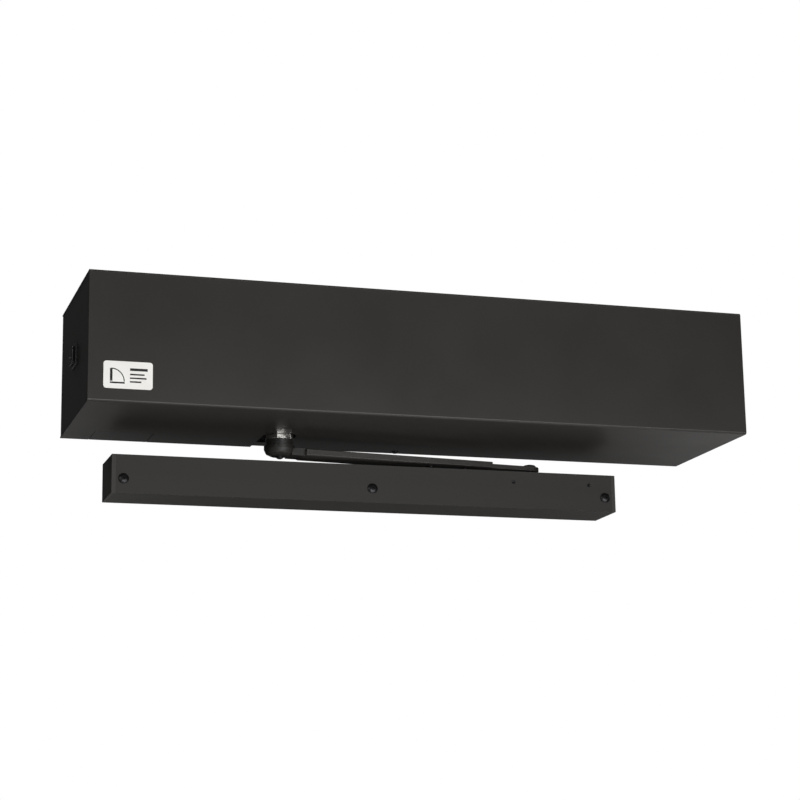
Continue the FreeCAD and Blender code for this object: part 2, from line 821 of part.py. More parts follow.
# ---------------------------------------------------------------- rocker switch
def build_switch():
    """Switch body with its bezel, clipped through the end cap, and the rocker that tilts in it."""
    face = "(-%s)" % CAP_FACE
    flange = block(
        face + " - bezel_rise", SWITCH_Y + " - bezel_long / 2", "switch_level - bezel_short / 2",
        "bezel_rise", "bezel_long", "bezel_short",
    )
    rim = block(
        face, SWITCH_Y + " - bezel_long / 2 + switch_hole_margin + slide_gap",
        "switch_level - bezel_short / 2 + switch_hole_margin + slide_gap", "switch_body_depth",
        "bezel_long - 2 * switch_hole_margin - 2 * slide_gap",
        "bezel_short - 2 * switch_hole_margin - 2 * slide_gap",
    )
    well = block(
        face + " - bezel_rise - 1", SWITCH_Y + " - bezel_long / 2 + bezel_rim",
        "switch_level - bezel_short / 2 + bezel_rim", "bezel_rise + 1 + switch_body_depth * 0.5",
        "bezel_long - 2 * bezel_rim", "bezel_short - 2 * bezel_rim",
    )
    node("switch_body", cut(join(flange, rim), well))
    half = "(bezel_long / 2 - bezel_rim - rocker_gap)"
    body = new_body("switch_rocker")
    side = sketch_on(body, "XY_Plane", "Side")
    outline(side, [
        ("-rocker_proud - bezel_rise", "-" + half),
        ("-bezel_rise - rocker_proud + rocker_dish", "0"),
        ("-rocker_proud - bezel_rise", half),
        ("0.5", half + " * 0.82"),
        ("5", "1.6"),
        ("5", "-1.6"),
        ("0.5", "-%s * 0.82" % half),
    ])
    pad(body, side, "bezel_short - 2 * bezel_rim - 2 * rocker_gap")
    soften(body, "rocker_dish / 2", lambda box: box.ZLength > 5 and box.XMax < -value("bezel_rise") - 1)
    put(body, face, SWITCH_Y, "switch_level - bezel_short / 2 + bezel_rim + rocker_gap")
    spades = [
        block(
            face + " + switch_body_depth", SWITCH_Y + " + (%s) - spade_width / 2" % place,
            "switch_level - spade_wall / 2", "spade_length", "spade_width", "spade_wall",
        )
        for place in ("-spade_spacing", "0", "spade_spacing")
    ]
    node("switch_terminals", join(*spades))


# ---------------------------------------------------------------- closer
def build_casting():
    """Closer casting: a square bar with a bore along it and a boss above and below the spindle."""
    body = block(
        CASTING_LEFT, "%s - casting_section / 2" % SPINDLE_Y, "-" + CASTING_HALF,
        "casting_before + casting_after", "casting_section", "casting_section",
    )
    rounded = round_edges(body, "casting_corner", lambda box: box.XLength > 100)
    bosses = bar(
        SPINDLE_X, SPINDLE_Y, "-%s - seal_seat" % BOSS_TOP, "boss_diameter", "2 * %s + seal_seat" % BOSS_TOP
    )
    feet = [
        block(
            x, "%s + casting_section / 2 - foot_root" % SPINDLE_Y, "-foot_height / 2", "foot_length",
            "spindle_from_wall - casting_section / 2 - back_wall + foot_root", "foot_height",
        )
        for x in (CASTING_LEFT + " + casting_corner", CASTING_RIGHT + " - casting_corner - foot_length")
    ]
    bore = bar(
        CASTING_LEFT + " - 1", SPINDLE_Y, "0", "bore_diameter", "casting_before + casting_after + 2", "x"
    )
    shaft_way = bar(SPINDLE_X, SPINDLE_Y, "-header_height", "bush_diameter", "header_height * 2")
    valves = [
        bar(
            "%s + valve_from_spindle + %d * valve_spacing" % (SPINDLE_X, index),
            "%s - casting_section / 2 - 1" % SPINDLE_Y, "-casting_section / 4 - valve_diameter / 2",
            "valve_diameter", "valve_depth + 1", "y",
        )
        for index in range(3)
    ]
    node("closer_casting", cut(join(rounded, bosses, *feet), bore, shaft_way, *valves))


def build_end_plugs():
    """Screwed plugs at both ends of the bore; the spring's adjuster passes through the right one."""
    for label, x, axis, back in (
        ("end_plug_left", CASTING_LEFT, "x", "-x"),
        ("end_plug_right", CASTING_RIGHT, "-x", "x"),
    ):
        plug = bar(x, SPINDLE_Y, "0", "bore_diameter", "end_plug_depth", axis)
        flange = bar(x, SPINDLE_Y, "0", "bore_diameter + 2 * end_plug_rim", "end_plug_flange", back)
        tools = [hexagon(x, SPINDLE_Y, "0", "end_plug_socket", "end_plug_flange + " + CUT_OVER, back)]
        if label == "end_plug_right":
            tools.append(bar(
                x + " - end_plug_depth - " + CUT_OVER, SPINDLE_Y, "0", "adjuster_rod + 2 * slide_gap",
                "end_plug_depth + end_plug_flange + 2 * " + CUT_OVER, "x",
            ))
        node(label, cut(join(plug, flange), *tools))


def build_valves():
    """Slotted regulating valves in the front of the casting."""
    valves = []
    for index in range(3):
        x = "%s + valve_from_spindle + %d * valve_spacing" % (SPINDLE_X, index)
        y = "%s - casting_section / 2" % SPINDLE_Y
        z = "-casting_section / 4 - valve_diameter / 2"
        screw = bar(x, y, z, "valve_diameter", "valve_depth", "y")
        slot = block(
            x + " - valve_diameter", y + " - " + CUT_OVER, z + " - recess_width / 2",
            "valve_diameter * 2", "recess_depth + " + CUT_OVER, "recess_width",
        )
        valves.append(cut(screw, slot))
    node("regulating_valves", join(*valves))


def build_bushes():
    """Bush above and below the pinion, and the lip seal under the lower one."""
    inside = "spindle_diameter + 2 * running_gap"
    seal_low = "-%s - seal_seat" % BOSS_TOP
    for label, low, outside, rise in (
        ("upper_bush", "%s - %s" % (BOSS_TOP, BUSH_HEIGHT), "bush_diameter", BUSH_HEIGHT),
        ("lower_bush", "-" + BOSS_TOP, "bush_diameter", BUSH_HEIGHT),
        ("spindle_seal", seal_low, "bush_diameter", "seal_seat - slide_gap"),
    ):
        outer = bar(SPINDLE_X, SPINDLE_Y, low, outside, rise)
        way = bar(SPINDLE_X, SPINDLE_Y, low + " - " + CUT_OVER, inside, rise + " + 2 * " + CUT_OVER)
        node(label, cut(outer, way))


def build_spindle():
    """Spindle with its rack pinion cut in one piece; a tooth points at the rack."""
    x, y = value(SPINDLE_X), value(SPINDLE_Y)
    low = value(SPINDLE_FOOT)
    high = value(BOSS_TOP + " + spindle_top_rise")
    height = value("rack_pinion_height")
    shaft = cylinder(x, y, low, value("spindle_diameter"), high - low)
    teeth = gear_solid(
        value("rack_module"), value("rack_pinion_teeth"), math.pi / 2, height, x, y, -height / 2
    )
    tapped = cylinder(x, y, low - 1, value("hub_screw_shank"), value("hub_screw_length"))
    feature("spindle_pinion", shaft.fuse(teeth).cut(tapped).removeSplitter())


def build_piston():
    """Piston with a slot for the pinion and rack teeth along the wall side of the slot."""
    module = value("rack_module")
    pitch_y = value("%s + %s" % (SPINDLE_Y, PITCH_RADIUS))
    left, right = value(PISTON_LEFT), value(PISTON_RIGHT)
    slot_left, slot_right = value(SLOT_LEFT), value(SLOT_RIGHT)
    y = value(SPINDLE_Y)
    diameter = value("bore_diameter - 2 * running_gap")
    rod = cylinder(left, y, 0, diameter, right - left, Vector(1, 0, 0))
    slot_low = y - value(TIP_RADIUS) - value("piston_side_gap")
    root = pitch_y + value(RACK_ROOT)
    slot_corner = Vector(slot_left, slot_low, -diameter / 2 - 1)
    slot = Part.makeBox(slot_right - slot_left, root - slot_low, diameter + 2, slot_corner)
    body = rod.cut(slot)
    pitch = math.pi * module
    slope = math.tan(math.radians(20))
    half = pitch / 4 - value("gear_backlash") / 2
    rise = module * 1.25
    teeth = []
    place = math.ceil((slot_left - value(SPINDLE_X)) / pitch) + 0.5
    while value(SPINDLE_X) + place * pitch + pitch / 2 < slot_right:
        centre = value(SPINDLE_X) + place * pitch
        wide, narrow = half + rise * slope, half - module * slope
        points = [
            Vector(centre - wide, root + 1, -diameter / 2), Vector(centre - wide, root, -diameter / 2),
            Vector(centre - narrow, pitch_y - module, -diameter / 2),
            Vector(centre + narrow, pitch_y - module, -diameter / 2),
            Vector(centre + wide, root, -diameter / 2), Vector(centre + wide, root + 1, -diameter / 2),
        ]
        profile = Part.Face(Part.makePolygon(points + points[:1]))
        teeth.append(profile.extrude(Vector(0, 0, diameter)))
        place += 1
    envelope = cylinder(left, y, 0, diameter, right - left, Vector(1, 0, 0))
    rack = [tooth.common(envelope) for tooth in teeth]
    feature("rack_piston", body.multiFuse(rack).removeSplitter())


def build_spring():
    """Closer spring between the piston and the adjuster's seat."""
    start = PISTON_RIGHT + " + spring_end_gap + spring_wire / 2"
    stop = CASTING_RIGHT + " - end_plug_depth - adjuster_reach - spring_end_gap - spring_wire / 2"
    helix = doc.addObject("Part::Helix", "spring_line")
    bind(
        helix,
        Pitch="((%s) - (%s)) / spring_turns" % (stop, start),
        Height="(%s) - (%s)" % (stop, start),
        Radius=SPRING_MEAN + " / 2",
    )
    section = doc.addObject("Part::Circle", "spring_section")
    bind(section, Radius="spring_wire / 2")
    section.Placement.Rotation = AXIS_TURN["y"]
    put(section, SPRING_MEAN + " / 2", "0", "0")
    doc.recompute()
    sweep = doc.addObject("Part::Sweep", "spring_wire_sweep")
    sweep.Sections = [section]
    sweep.Spine = (helix, ["Edge1"])
    sweep.Solid = True
    sweep.Frenet = True
    sweep.Placement.Rotation = AXIS_TURN["x"]
    put(sweep, start, SPINDLE_Y, "0")
    node("closer_spring", sweep)
    seat_x = CASTING_RIGHT + " - end_plug_depth - adjuster_reach"
    plate = bar(seat_x, SPINDLE_Y, "0", "bore_diameter - 2 * side_gap", "adjuster_plate", "x")
    screw = bar(
        seat_x + " + adjuster_plate", SPINDLE_Y, "0", "adjuster_rod",
        "adjuster_reach + end_plug_depth - adjuster_plate", "x",
    )
    node("spring_adjuster", join(plate, screw))


# ---------------------------------------------------------------- drive
def build_drive():
    """Drive gear on top of the spindle, and the gearmotor's pinion in mesh with it."""
    x, y = value(SPINDLE_X), value(SPINDLE_Y)
    motor_y = value(MOTOR_Y)
    level, height = value("drive_gear_level"), value("drive_gear_height")
    module = value("drive_module")
    through = value("header_height")
    gear = gear_solid(module, value("drive_gear_teeth"), -math.pi / 2, height, x, y, level)
    rise = value("drive_hub_rise")
    hub = cylinder(x, y, level - rise, value("drive_hub_diameter"), height + 2 * rise)
    bore = cylinder(x, y, 0, value("spindle_diameter"), through)
    count = int(value("lightening_holes"))
    lighten = []
    for index in range(count):
        spot = polar(value("lightening_ring") / 2, 2 * math.pi * index / count)
        lighten.append(cylinder(x + spot.x, y + spot.y, 0, value("lightening_hole"), through))
    feature("drive_gear", gear.fuse(hub).cut(bore).cut(Part.makeCompound(lighten)).removeSplitter())
    gap_angle = math.pi / 2 + math.pi / value("drive_pinion_teeth")
    extra = value("motor_pinion_extra")
    pinion = gear_solid(
        module, value("drive_pinion_teeth"), gap_angle, height + 2 * extra, x, motor_y, level - extra
    )
    feature("motor_pinion", pinion.cut(cylinder(x, motor_y, 0, value("motor_shaft"), through)))


def build_motor():
    """Gearmotor: gearbox, its shaft, and the motor can under it."""
    top = CASTING_HALF
    gearbox = join(
        bar(SPINDLE_X, MOTOR_Y, top, "gearbox_diameter", "gearbox_height", "-z"),
        bar(SPINDLE_X, MOTOR_Y, top, "motor_boss", "motor_boss_rise"),
    )
    shaft_way = bar(
        SPINDLE_X, MOTOR_Y, top + " - shaft_depth - shaft_end_gap",
        "motor_shaft + 2 * running_gap", "header_height",
    )
    node("gearbox", cut(gearbox, shaft_way))
    shaft = bar(
        SPINDLE_X, MOTOR_Y, top + " - shaft_depth", "motor_shaft",
        "drive_gear_level + drive_gear_height + shaft_top_rise - %s + shaft_depth" % top,
    )
    node("motor_shaft", shaft)
    can = bar(SPINDLE_X, MOTOR_Y, top + " - gearbox_height", "motor_diameter", "motor_height", "-z")
    cap = bar(
        SPINDLE_X, MOTOR_Y, top + " - gearbox_height - motor_height",
        "motor_diameter - 2 * motor_cap_step", "motor_cap_rise", "-z",
    )
    node("motor_can", join(can, cap))


def bracket_screw_places():
    """Four screws into the casting around the boss, and two into the gearbox."""
    places = [
        (
            "%s %s bracket_screw_across / 2" % (SPINDLE_X, side),
            "%s %s bracket_screw_along / 2" % (SPINDLE_Y, end),
        )
        for side in "+-" for end in "+-"
    ]
    return places + [("%s %s gearbox_screw_across / 2" % (SPINDLE_X, side), MOTOR_Y) for side in "+-"]


def build_bracket():
    """Plate on top of the casting that the gearmotor hangs under."""
    top = CASTING_HALF
    below = top + " - " + CUT_OVER
    through = "bracket_wall + 2 * " + CUT_OVER
    low_y = "(%s - gearbox_diameter / 2 - bracket_margin)" % MOTOR_Y
    plate = block(
        SPINDLE_X + " - bracket_width / 2", low_y, top, "bracket_width",
        "%s + casting_section / 2 - casting_corner - (%s)" % (SPINDLE_Y, low_y), "bracket_wall",
    )
    tools = [
        bar(SPINDLE_X, SPINDLE_Y, below, "boss_diameter + 2 * bracket_boss_gap", through),
        bar(SPINDLE_X, MOTOR_Y, below, "motor_boss + 2 * bracket_boss_gap", through),
    ]
    screws = []
    for x, y in bracket_screw_places():
        tools.append(bar(x, y, below, "screw_shank + cap_slip", through))
        screws.append(cross_screw(
            x, y, top + " + bracket_wall", "-z",
            "screw_head", "screw_head_rise", "screw_shank", "bracket_wall",
        ))
    node("motor_bracket", cut(plate, *tools))
    node("bracket_screws", join(*screws))


# ---------------------------------------------------------------- electrics
def build_transformer():
    """Laminated core with two windows, its winding, and the straps that hold it to the back plate."""
    window_rise = "(core_height - core_leg)"
    core = block(
        TRANSFORMER_LEFT, TRANSFORMER_FRONT, "-core_height / 2", "core_width", "core_stack", "core_height"
    )
    windows = [
        block(
            "%s %s" % (TRANSFORMER_MIDDLE, side),
            TRANSFORMER_FRONT + " - " + CUT_OVER,
            "-%s / 2" % window_rise,
            "core_window", "core_stack + 2 * " + CUT_OVER, window_rise,
        )
        for side in ("+ core_leg / 2", "- core_leg / 2 - core_window")
    ]
    node("transformer_core", cut(core, *windows))
    coil = block(
        TRANSFORMER_MIDDLE + " - core_leg / 2 - core_window + coil_gap", TRANSFORMER_FRONT + " - coil_bulge",
        "-%s / 2 + coil_gap" % window_rise, "core_leg + 2 * core_window - 2 * coil_gap",
        "core_stack + 2 * coil_bulge", window_rise + " - 2 * coil_gap",
    )
    limb = block(
        TRANSFORMER_MIDDLE + " - core_leg / 2 - coil_gap", TRANSFORMER_FRONT + " - coil_gap", "-core_height",
        "core_leg + 2 * coil_gap", "core_stack + 2 * coil_gap", "core_height * 2",
    )
    node("transformer_winding", cut(coil, limb))
    straps = []
    for side_x, foot_x in (
        (TRANSFORMER_LEFT + " - strap_wall", TRANSFORMER_LEFT + " - strap_wall - strap_foot"),
        (TRANSFORMER_LEFT + " + core_width", TRANSFORMER_LEFT + " + core_width + strap_wall"),
    ):
        side = block(
            side_x, TRANSFORMER_FRONT, "-core_height / 2",
            "strap_wall", "core_stack + coil_bulge + coil_back_gap", "core_height",
        )
        foot = block(
            foot_x, "-back_wall - strap_wall", "-core_height / 2", "strap_foot", "strap_wall", "core_height"
        )
        straps.append(join(side, foot))
    node("transformer_straps", join(*straps))


def board_corners():
    """Places of the four standoffs."""
    places = []
    for x in (BOARD_LEFT + " + board_margin", BOARD_LEFT + " + board_width - board_margin"):
        for z in ("-board_height / 2 + board_margin", "board_height / 2 - board_margin"):
            places.append((x, z))
    return places


def on_board(place, depth, level, width, length, rise):
    """Block that stands on the board's face, from its left edge and its depth off the face."""
    return block("%s + %s" % (BOARD_LEFT, place), "%s - %s" % (BOARD_FACE, depth), level, width, length, rise)


def build_board():
    """Control board on four standoffs."""
    board = block(BOARD_LEFT, BOARD_FACE, "-board_height / 2", "board_width", "board_wall", "board_height")
    holes = []
    standoffs = []
    screws = []
    for x, z in board_corners():
        holes.append(bar(
            x, BOARD_FACE + " - " + CUT_OVER, z, "board_hole", "board_wall + 2 * " + CUT_OVER, "y"
        ))
        standoffs.append(bar(x, "-back_wall", z, "standoff_diameter", "standoff_height", "-y"))
        screws.append(cross_screw(
            x, BOARD_FACE, z, "y", "board_screw_head", "board_screw_rise", "board_screw_shank", "board_wall"
        ))
    node("control_board", cut(board, *holes))
    node("board_standoffs", join(*standoffs))
    node("board_screws", join(*screws))


def build_board_parts():
    """Relays, capacitors, heat sink, setting dials and the motor's socket."""
    relays = [
        on_board(
            "relay_place + %d * relay_spacing" % index, "relay_depth", "relay_level",
            "relay_width", "relay_depth", "relay_height",
        )
        for index in range(2)
    ]
    node("relays", join(*relays))
    capacitors = [
        bar(
            BOARD_LEFT + " + capacitor_place + %d * capacitor_spacing" % index, BOARD_FACE, "capacitor_level",
            "capacitor_diameter", "capacitor_length", "-y",
        )
        for index in range(2)
    ]
    node("capacitors", join(*capacitors))
    base = on_board("sink_place", "sink_base", "sink_level", "sink_width", "sink_base", "sink_height")
    fin_count = int(value("(sink_width - fin_wall) / fin_pitch")) + 1
    fins = [
        on_board(
            "sink_place + %d * fin_pitch" % index, "sink_depth", "sink_level",
            "fin_wall", "sink_depth - sink_base / 2", "sink_height",
        )
        for index in range(fin_count)
    ]
    node("heat_sink", join(base, *fins))
    dials = []
    for index in range(4):
        left = "dial_place + %d * dial_spacing" % index
        body = on_board(left, "dial_depth", "dial_level", "dial_side", "dial_depth", "dial_side")
        middle_x = "%s + %s + dial_side / 2" % (BOARD_LEFT, left)
        middle_z = "dial_level + dial_side / 2"
        knob = bar(middle_x, BOARD_FACE + " - dial_depth", middle_z, "dial_knob", "dial_knob_rise", "-y")
        slot = block(
            middle_x + " - dial_slot_width / 2",
            BOARD_FACE + " - dial_depth - dial_knob_rise - " + CUT_OVER,
            middle_z + " - dial_slot_length / 2",
            "dial_slot_width", "dial_slot_depth + " + CUT_OVER, "dial_slot_length",
        )
        dials.append(cut(join(body, knob), slot))
    node("setting_dials", join(*dials))
    node("motor_socket", on_board(
        "socket_place", "socket_depth", "socket_level", "socket_width", "socket_depth", "socket_height"
    ))


def build_terminal_strip():
    """Row of screw terminals along the foot of the board."""
    width = "(board_width - 2 * strip_margin)"
    strip = on_board(
        "strip_margin", "strip_depth", "-board_height / 2 + strip_from_floor",
        width, "strip_depth", "strip_height",
    )
    ways = [
        bar(
            "%s + strip_margin + %s * (%d + 0.5) / strip_ways" % (BOARD_LEFT, width, index),
            BOARD_FACE + " - strip_depth - " + CUT_OVER,
            "-board_height / 2 + strip_from_floor + strip_height / 2",
            "strip_way_diameter", "strip_way_depth + " + CUT_OVER, "y",
        )
        for index in range(int(value("strip_ways")))
    ]
    node("terminal_strip", cut(strip, *ways))


def build_leads():
    """Two leads inside the header: gearmotor to control board, and switch to transformer."""
    gearbox_side = value(SPINDLE_X + " + motor_diameter / 2 + side_gap")
    motor_y = value(MOTOR_Y)
    socket_x = value(BOARD_LEFT + " + socket_place + socket_width / 2")
    socket_y = value(BOARD_FACE + " - socket_depth")
    level = value("-header_height / 2 + 18")
    lead("motor_lead", [
        (gearbox_side, motor_y, -30),
        (gearbox_side + 22, motor_y - 1, -33),
        (gearbox_side + 55, motor_y + 3, level),
        (gearbox_side + 105, motor_y + 8, level + 2),
        (gearbox_side + 150, motor_y + 16, level + 8),
        (socket_x - 4, motor_y + 36, level + 26),
        (socket_x - 2, socket_y - 32, 2),
        (socket_x, socket_y - 12, 5),
        (socket_x, socket_y, 5),
    ], value("motor_lead_diameter"))
    tab_x = value("-%s + switch_body_depth + spade_length + side_gap" % CAP_FACE)
    tab_y = value(SWITCH_Y)
    coil_x = value(TRANSFORMER_MIDDLE)
    coil_y = value(TRANSFORMER_FRONT + " - coil_bulge")
    lead("switch_lead", [
        (tab_x, tab_y, value("switch_level")),
        (tab_x + 12, tab_y + 1, 0),
        (tab_x + 26, tab_y + 4, 3),
        (coil_x - 2, tab_y + 14, 5),
        (coil_x, coil_y - 10, 4),
        (coil_x, coil_y, 4),
    ], value("switch_lead_diameter"))


# ---------------------------------------------------------------- lever arm
def arm_part(label, obj):
    """Place a piece drawn along +X from the spindle axis."""
    node(label, obj)
    put(obj, SPINDLE_X, SPINDLE_Y, "0")
    turn_about_z(obj, ARM_ANGLE)


def build_collar():
    """Bright six-sided adaptor between the spindle and the arm's hub."""
    top = "(-header_height / 2 + collar_rise)"
    body = hexagon("0", "0", HUB_TOP, "collar_width", "collar_drop + collar_rise")
    flange = bar("0", "0", HUB_TOP, "collar_width - 1", "1.4")
    way = bar("0", "0", HUB_TOP + " - 1", "spindle_diameter", "%s - (%s) + 2" % (top, HUB_TOP))
    arm_part("spindle_collar", cut(join(body, flange), way))


def build_hub():
    """Forged hub: stepped boss, grooved rim and rounded underside, with the neck of the lever."""
    neck_low = "(%s - hub_neck_height)" % HUB_TOP
    rim_low = "(%s + hub_round)" % HUB_BOTTOM
    body = new_body("arm_hub")
    section = sketch_on(body, "XZ_Plane", "Section")
    outline(section, [
        ("spindle_diameter / 2", HUB_TOP),
        ("hub_neck_diameter / 2", HUB_TOP),
        ("hub_neck_diameter / 2", neck_low + " + hub_groove"),
        ("hub_neck_diameter / 2 - hub_groove", neck_low + " + hub_groove"),
        ("hub_neck_diameter / 2 - hub_groove", neck_low),
        ("hub_diameter / 2", neck_low),
        ("hub_diameter / 2", rim_low),
        ("hub_diameter / 2 - hub_round * 0.3", rim_low + " - hub_round * 0.65"),
        ("hub_diameter / 2 - hub_round", HUB_BOTTOM),
        ("hub_screw_shank / 2", HUB_BOTTOM),
        ("hub_screw_shank / 2", SPINDLE_FOOT),
        ("spindle_diameter / 2", SPINDLE_FOOT),
    ])
    doc.recompute()
    spun = body.newObject("PartDesign::Revolution", "Revolution")
    spun.Profile = section
    spun.ReferenceAxis = (section, ["V_Axis"])
    spun.Angle = 360
    doc.recompute()
    NODES.remove(body)
    body.Label = "hub_turning"
    inner = "spindle_diameter / 2 + 2"
    neck = block(
        inner, "-neck_width / 2", HUB_BOTTOM,
        "sleeve_start - (%s)" % inner, "neck_width", "neck_height",
    )
    spigot = block(
        "sleeve_start - 1", "-neck_width / 2 + 1", SLEEVE_MIDDLE + " - rod_height / 2", "spigot_length + 1",
        "neck_width - 2", "rod_height",
    )
    arm_part("arm_hub", join(body, neck, spigot))


def build_sleeve():
    """Flat outer bar of the lever with bevelled long edges and a pocket at each end."""
    body = new_body("arm_sleeve")
    section = sketch_on(body, "YZ_Plane", "Section")
    half = "(sleeve_width / 2)"
    top = "(%s + sleeve_height)" % SLEEVE_BOTTOM
    outline(section, [
        ("-%s + sleeve_bevel" % half, SLEEVE_BOTTOM),
        ("%s - sleeve_bevel" % half, SLEEVE_BOTTOM),
        (half, SLEEVE_BOTTOM + " + sleeve_bevel / 2"),
        (half, top + " - sleeve_bevel / 2"),
        ("%s - sleeve_bevel" % half, top),
        ("-%s + sleeve_bevel" % half, top),
        ("-" + half, top + " - sleeve_bevel / 2"),
        ("-" + half, SLEEVE_BOTTOM + " + sleeve_bevel / 2"),
    ])
    pad(body, section, SLEEVE_LENGTH)
    NODES.remove(body)
    body.Label = "sleeve_bar"
    put(body, "sleeve_start", "0", "0")
    low = SLEEVE_MIDDLE + " - rod_height / 2 - slide_gap"
    rise = "rod_height + 2 * slide_gap"
    left = block(
        "sleeve_start - 1", "-neck_width / 2 + 1 - slide_gap", low, "spigot_length + 1 + slide_gap",
        "neck_width - 2 + 2 * slide_gap", rise,
    )
    right = block(
        SLEEVE_END + " - sleeve_pocket", "-rod_width / 2 - slide_gap", low,
        "sleeve_pocket + 1", "rod_width + 2 * slide_gap", rise,
    )
    holes = [
        bar(x, "0", SLEEVE_BOTTOM + " - 1", "clamp_screw_shank", "sleeve_height / 2") for x in clamp_places()
    ]
    arm_part("arm_sleeve", cut(body, left, right, *holes))


def clamp_places():
    first = "(%s - sleeve_pocket / 2 - clamp_screw_spacing / 2)" % SLEEVE_END
    return [first, first + " + clamp_screw_spacing"]


def build_rod():
    """Inner bar of the lever: slides in the sleeve and ends in a round eye for the stud."""
    start = "(%s - rod_overlap)" % SLEEVE_END
    low = SLEEVE_MIDDLE + " - rod_height / 2"
    flat = block(start, "-rod_width / 2", low, "arm_reach - (%s)" % start, "rod_width", "rod_height")
    eye = bar("arm_reach", "0", low, "rod_width", "rod_height")
    hole = bar("arm_reach", "0", low + " - 1", "stud_diameter", "rod_height + 2")
    arm_part("arm_rod", cut(join(flat, eye), hole))


def build_arm_screws():
    """Screw up into the spindle, and the two that clamp the rod in the sleeve."""
    hub = cross_screw(
        "0", "0", HUB_BOTTOM, "z", "hub_screw_head", "hub_screw_rise", "hub_screw_shank",
        "hub_height * (1 - spindle_reach) + hub_screw_length - hub_screw_end_gap",
    )
    arm_part("hub_screw", hub)
    clamps = [
        cross_screw(
            x, "0", SLEEVE_BOTTOM, "z", "clamp_screw_head", "clamp_screw_rise", "clamp_screw_shank",
            "(sleeve_height - rod_height) / 2 - slide_gap",
        )
        for x in clamp_places()
    ]
    arm_part("clamp_screws", join(*clamps))


def build_stud():
    """Pivot stud: domed head on the rod's eye, shank down into the shoe."""
    seat = "(%s + rod_height / 2)" % SLEEVE_MIDDLE
    turned("pivot_stud", [
        ("0", SHOE_TOP + " - stud_depth * 0.7"),
        ("stud_diameter / 2", SHOE_TOP + " - stud_depth * 0.7"),
        ("stud_diameter / 2", seat),
        ("stud_head / 2", seat),
        ("stud_head / 2", seat + " + stud_head_rise * 0.4"),
        ("stud_head * 0.4", seat + " + stud_head_rise * 0.8"),
        ("stud_head * 0.22", seat + " + stud_head_rise"),
        ("0", seat + " + stud_head_rise"),
    ], STUD_X, TRACK_MIDDLE)


def build_shoe():
    """Moulded slide shoe that turns on the stud and runs in the track."""
    body = block(
        STUD_X + " - shoe_length / 2", TRACK_MIDDLE + " - guide_width / 2 + shoe_gap", SHOE_BOTTOM,
        "shoe_length", "guide_width - 2 * shoe_gap", "(%s) - (%s)" % (SHOE_TOP, SHOE_BOTTOM),
    )


    def is_corner(box):
        return box.ZLength > 5 and box.XLength + box.YLength < 0.01

    rounded = round_edges(body, "shoe_corner", is_corner)
    hole = bar(STUD_X, TRACK_MIDDLE, SHOE_BOTTOM + " - 1", "stud_diameter + 2 * running_gap", "track_height")
    node("slide_shoe", cut(rounded, hole))


# ---------------------------------------------------------------- slide track
def screw_places():
    """X of the three fixing screws of the track."""
    left = "(%s + track_screw_from_end)" % TRACK_LEFT
    right = "(%s - track_screw_from_end)" % TRACK_RIGHT
    return [left, "((%s) + (%s)) / 2" % (left, right), right]


def build_rail():
    """Extruded track: a screw chamber below, and above it a slotted guide between two ribs."""
    body = new_body("track_rail")
    outer = sketch_on(body, "YZ_Plane", "Outline")
    rectangle(outer, "-track_depth", "0", "0", "track_height")
    pad(body, outer, "track_length - 2 * track_cap_wall")
    web_top = "track_web_level"
    web_low = "(track_web_level - track_wall)"
    roof = "(track_height - track_wall)"
    half = "(track_depth / 2)"
    hollows = sketch_on(body, "YZ_Plane", "Hollows")
    rectangle(hollows, "-track_depth + track_wall", "-track_wall", "track_wall", web_low)
    rectangle(hollows, "-track_depth + track_wall", "-%s - guide_width / 2 - guide_rib" % half, web_top, roof)
    rectangle(hollows, "-%s + guide_width / 2 + guide_rib" % half, "-track_wall", web_top, roof)
    rectangle(hollows, "-%s - guide_width / 2" % half, "-%s + guide_width / 2" % half, web_top, roof)
    pocket(body, hollows, "track_length", backwards=True)
    slot = sketch_on(body, "YZ_Plane", "Slot")
    rectangle(
        slot, "-%s - track_slot / 2" % half, "-%s + track_slot / 2" % half,
        roof + " - 1", "track_height + 1",
    )
    pocket(body, slot, "track_length", backwards=True)
    NODES.remove(body)
    body.Label = "rail_extrusion"
    put(body, "%s + track_cap_wall" % TRACK_LEFT, "0", TRACK_BOTTOM)
    through = "track_depth + 2"
    holes = [
        bar(x, "-track_depth - 1", "%s + track_screw_level" % TRACK_BOTTOM, "track_screw_hole", through, "y")
        for x in screw_places()
    ]
    reach = "track_depth / 2 - guide_width / 2 + 2"
    small = [
        bar(
            "%s - %s" % (TRACK_RIGHT, place), "-track_depth - 1", "%s + stop_screw_level" % TRACK_BOTTOM,
            "stop_screw", reach, "y",
        )
        for place in ("stop_screw_from_end", "stop_spare_from_end")
    ]
    node("track_rail", cut(body, *holes, *small))


def build_track_caps():
    """Moulded caps that close the ends of the track, with a spigot into the screw chamber."""
    screws = screw_places()
    for side, x, spigot_x, screw_x in (
        ("left", TRACK_LEFT, TRACK_LEFT + " + track_cap_wall", screws[0]),
        (
            "right",
            TRACK_RIGHT + " - track_cap_wall",
            TRACK_RIGHT + " - track_cap_wall - spigot_depth",
            screws[-1],
        ),
    ):
        plate = block(x, "-track_depth", TRACK_BOTTOM, "track_cap_wall", "track_depth", "track_height")
        spigot = block(
            spigot_x, "-track_depth + track_wall + slide_gap", "%s + track_wall + slide_gap" % TRACK_BOTTOM,
            "spigot_depth", "track_depth - 2 * track_wall - 2 * slide_gap",
            "track_web_level - 2 * track_wall - 2 * slide_gap",
        )
        hole = bar(
            screw_x, "-track_depth - 1", "%s + track_screw_level" % TRACK_BOTTOM, "track_screw_hole",
            "track_depth + 2", "y",
        )
        node("track_cap_" + side, cut(join(plate, spigot), hole))


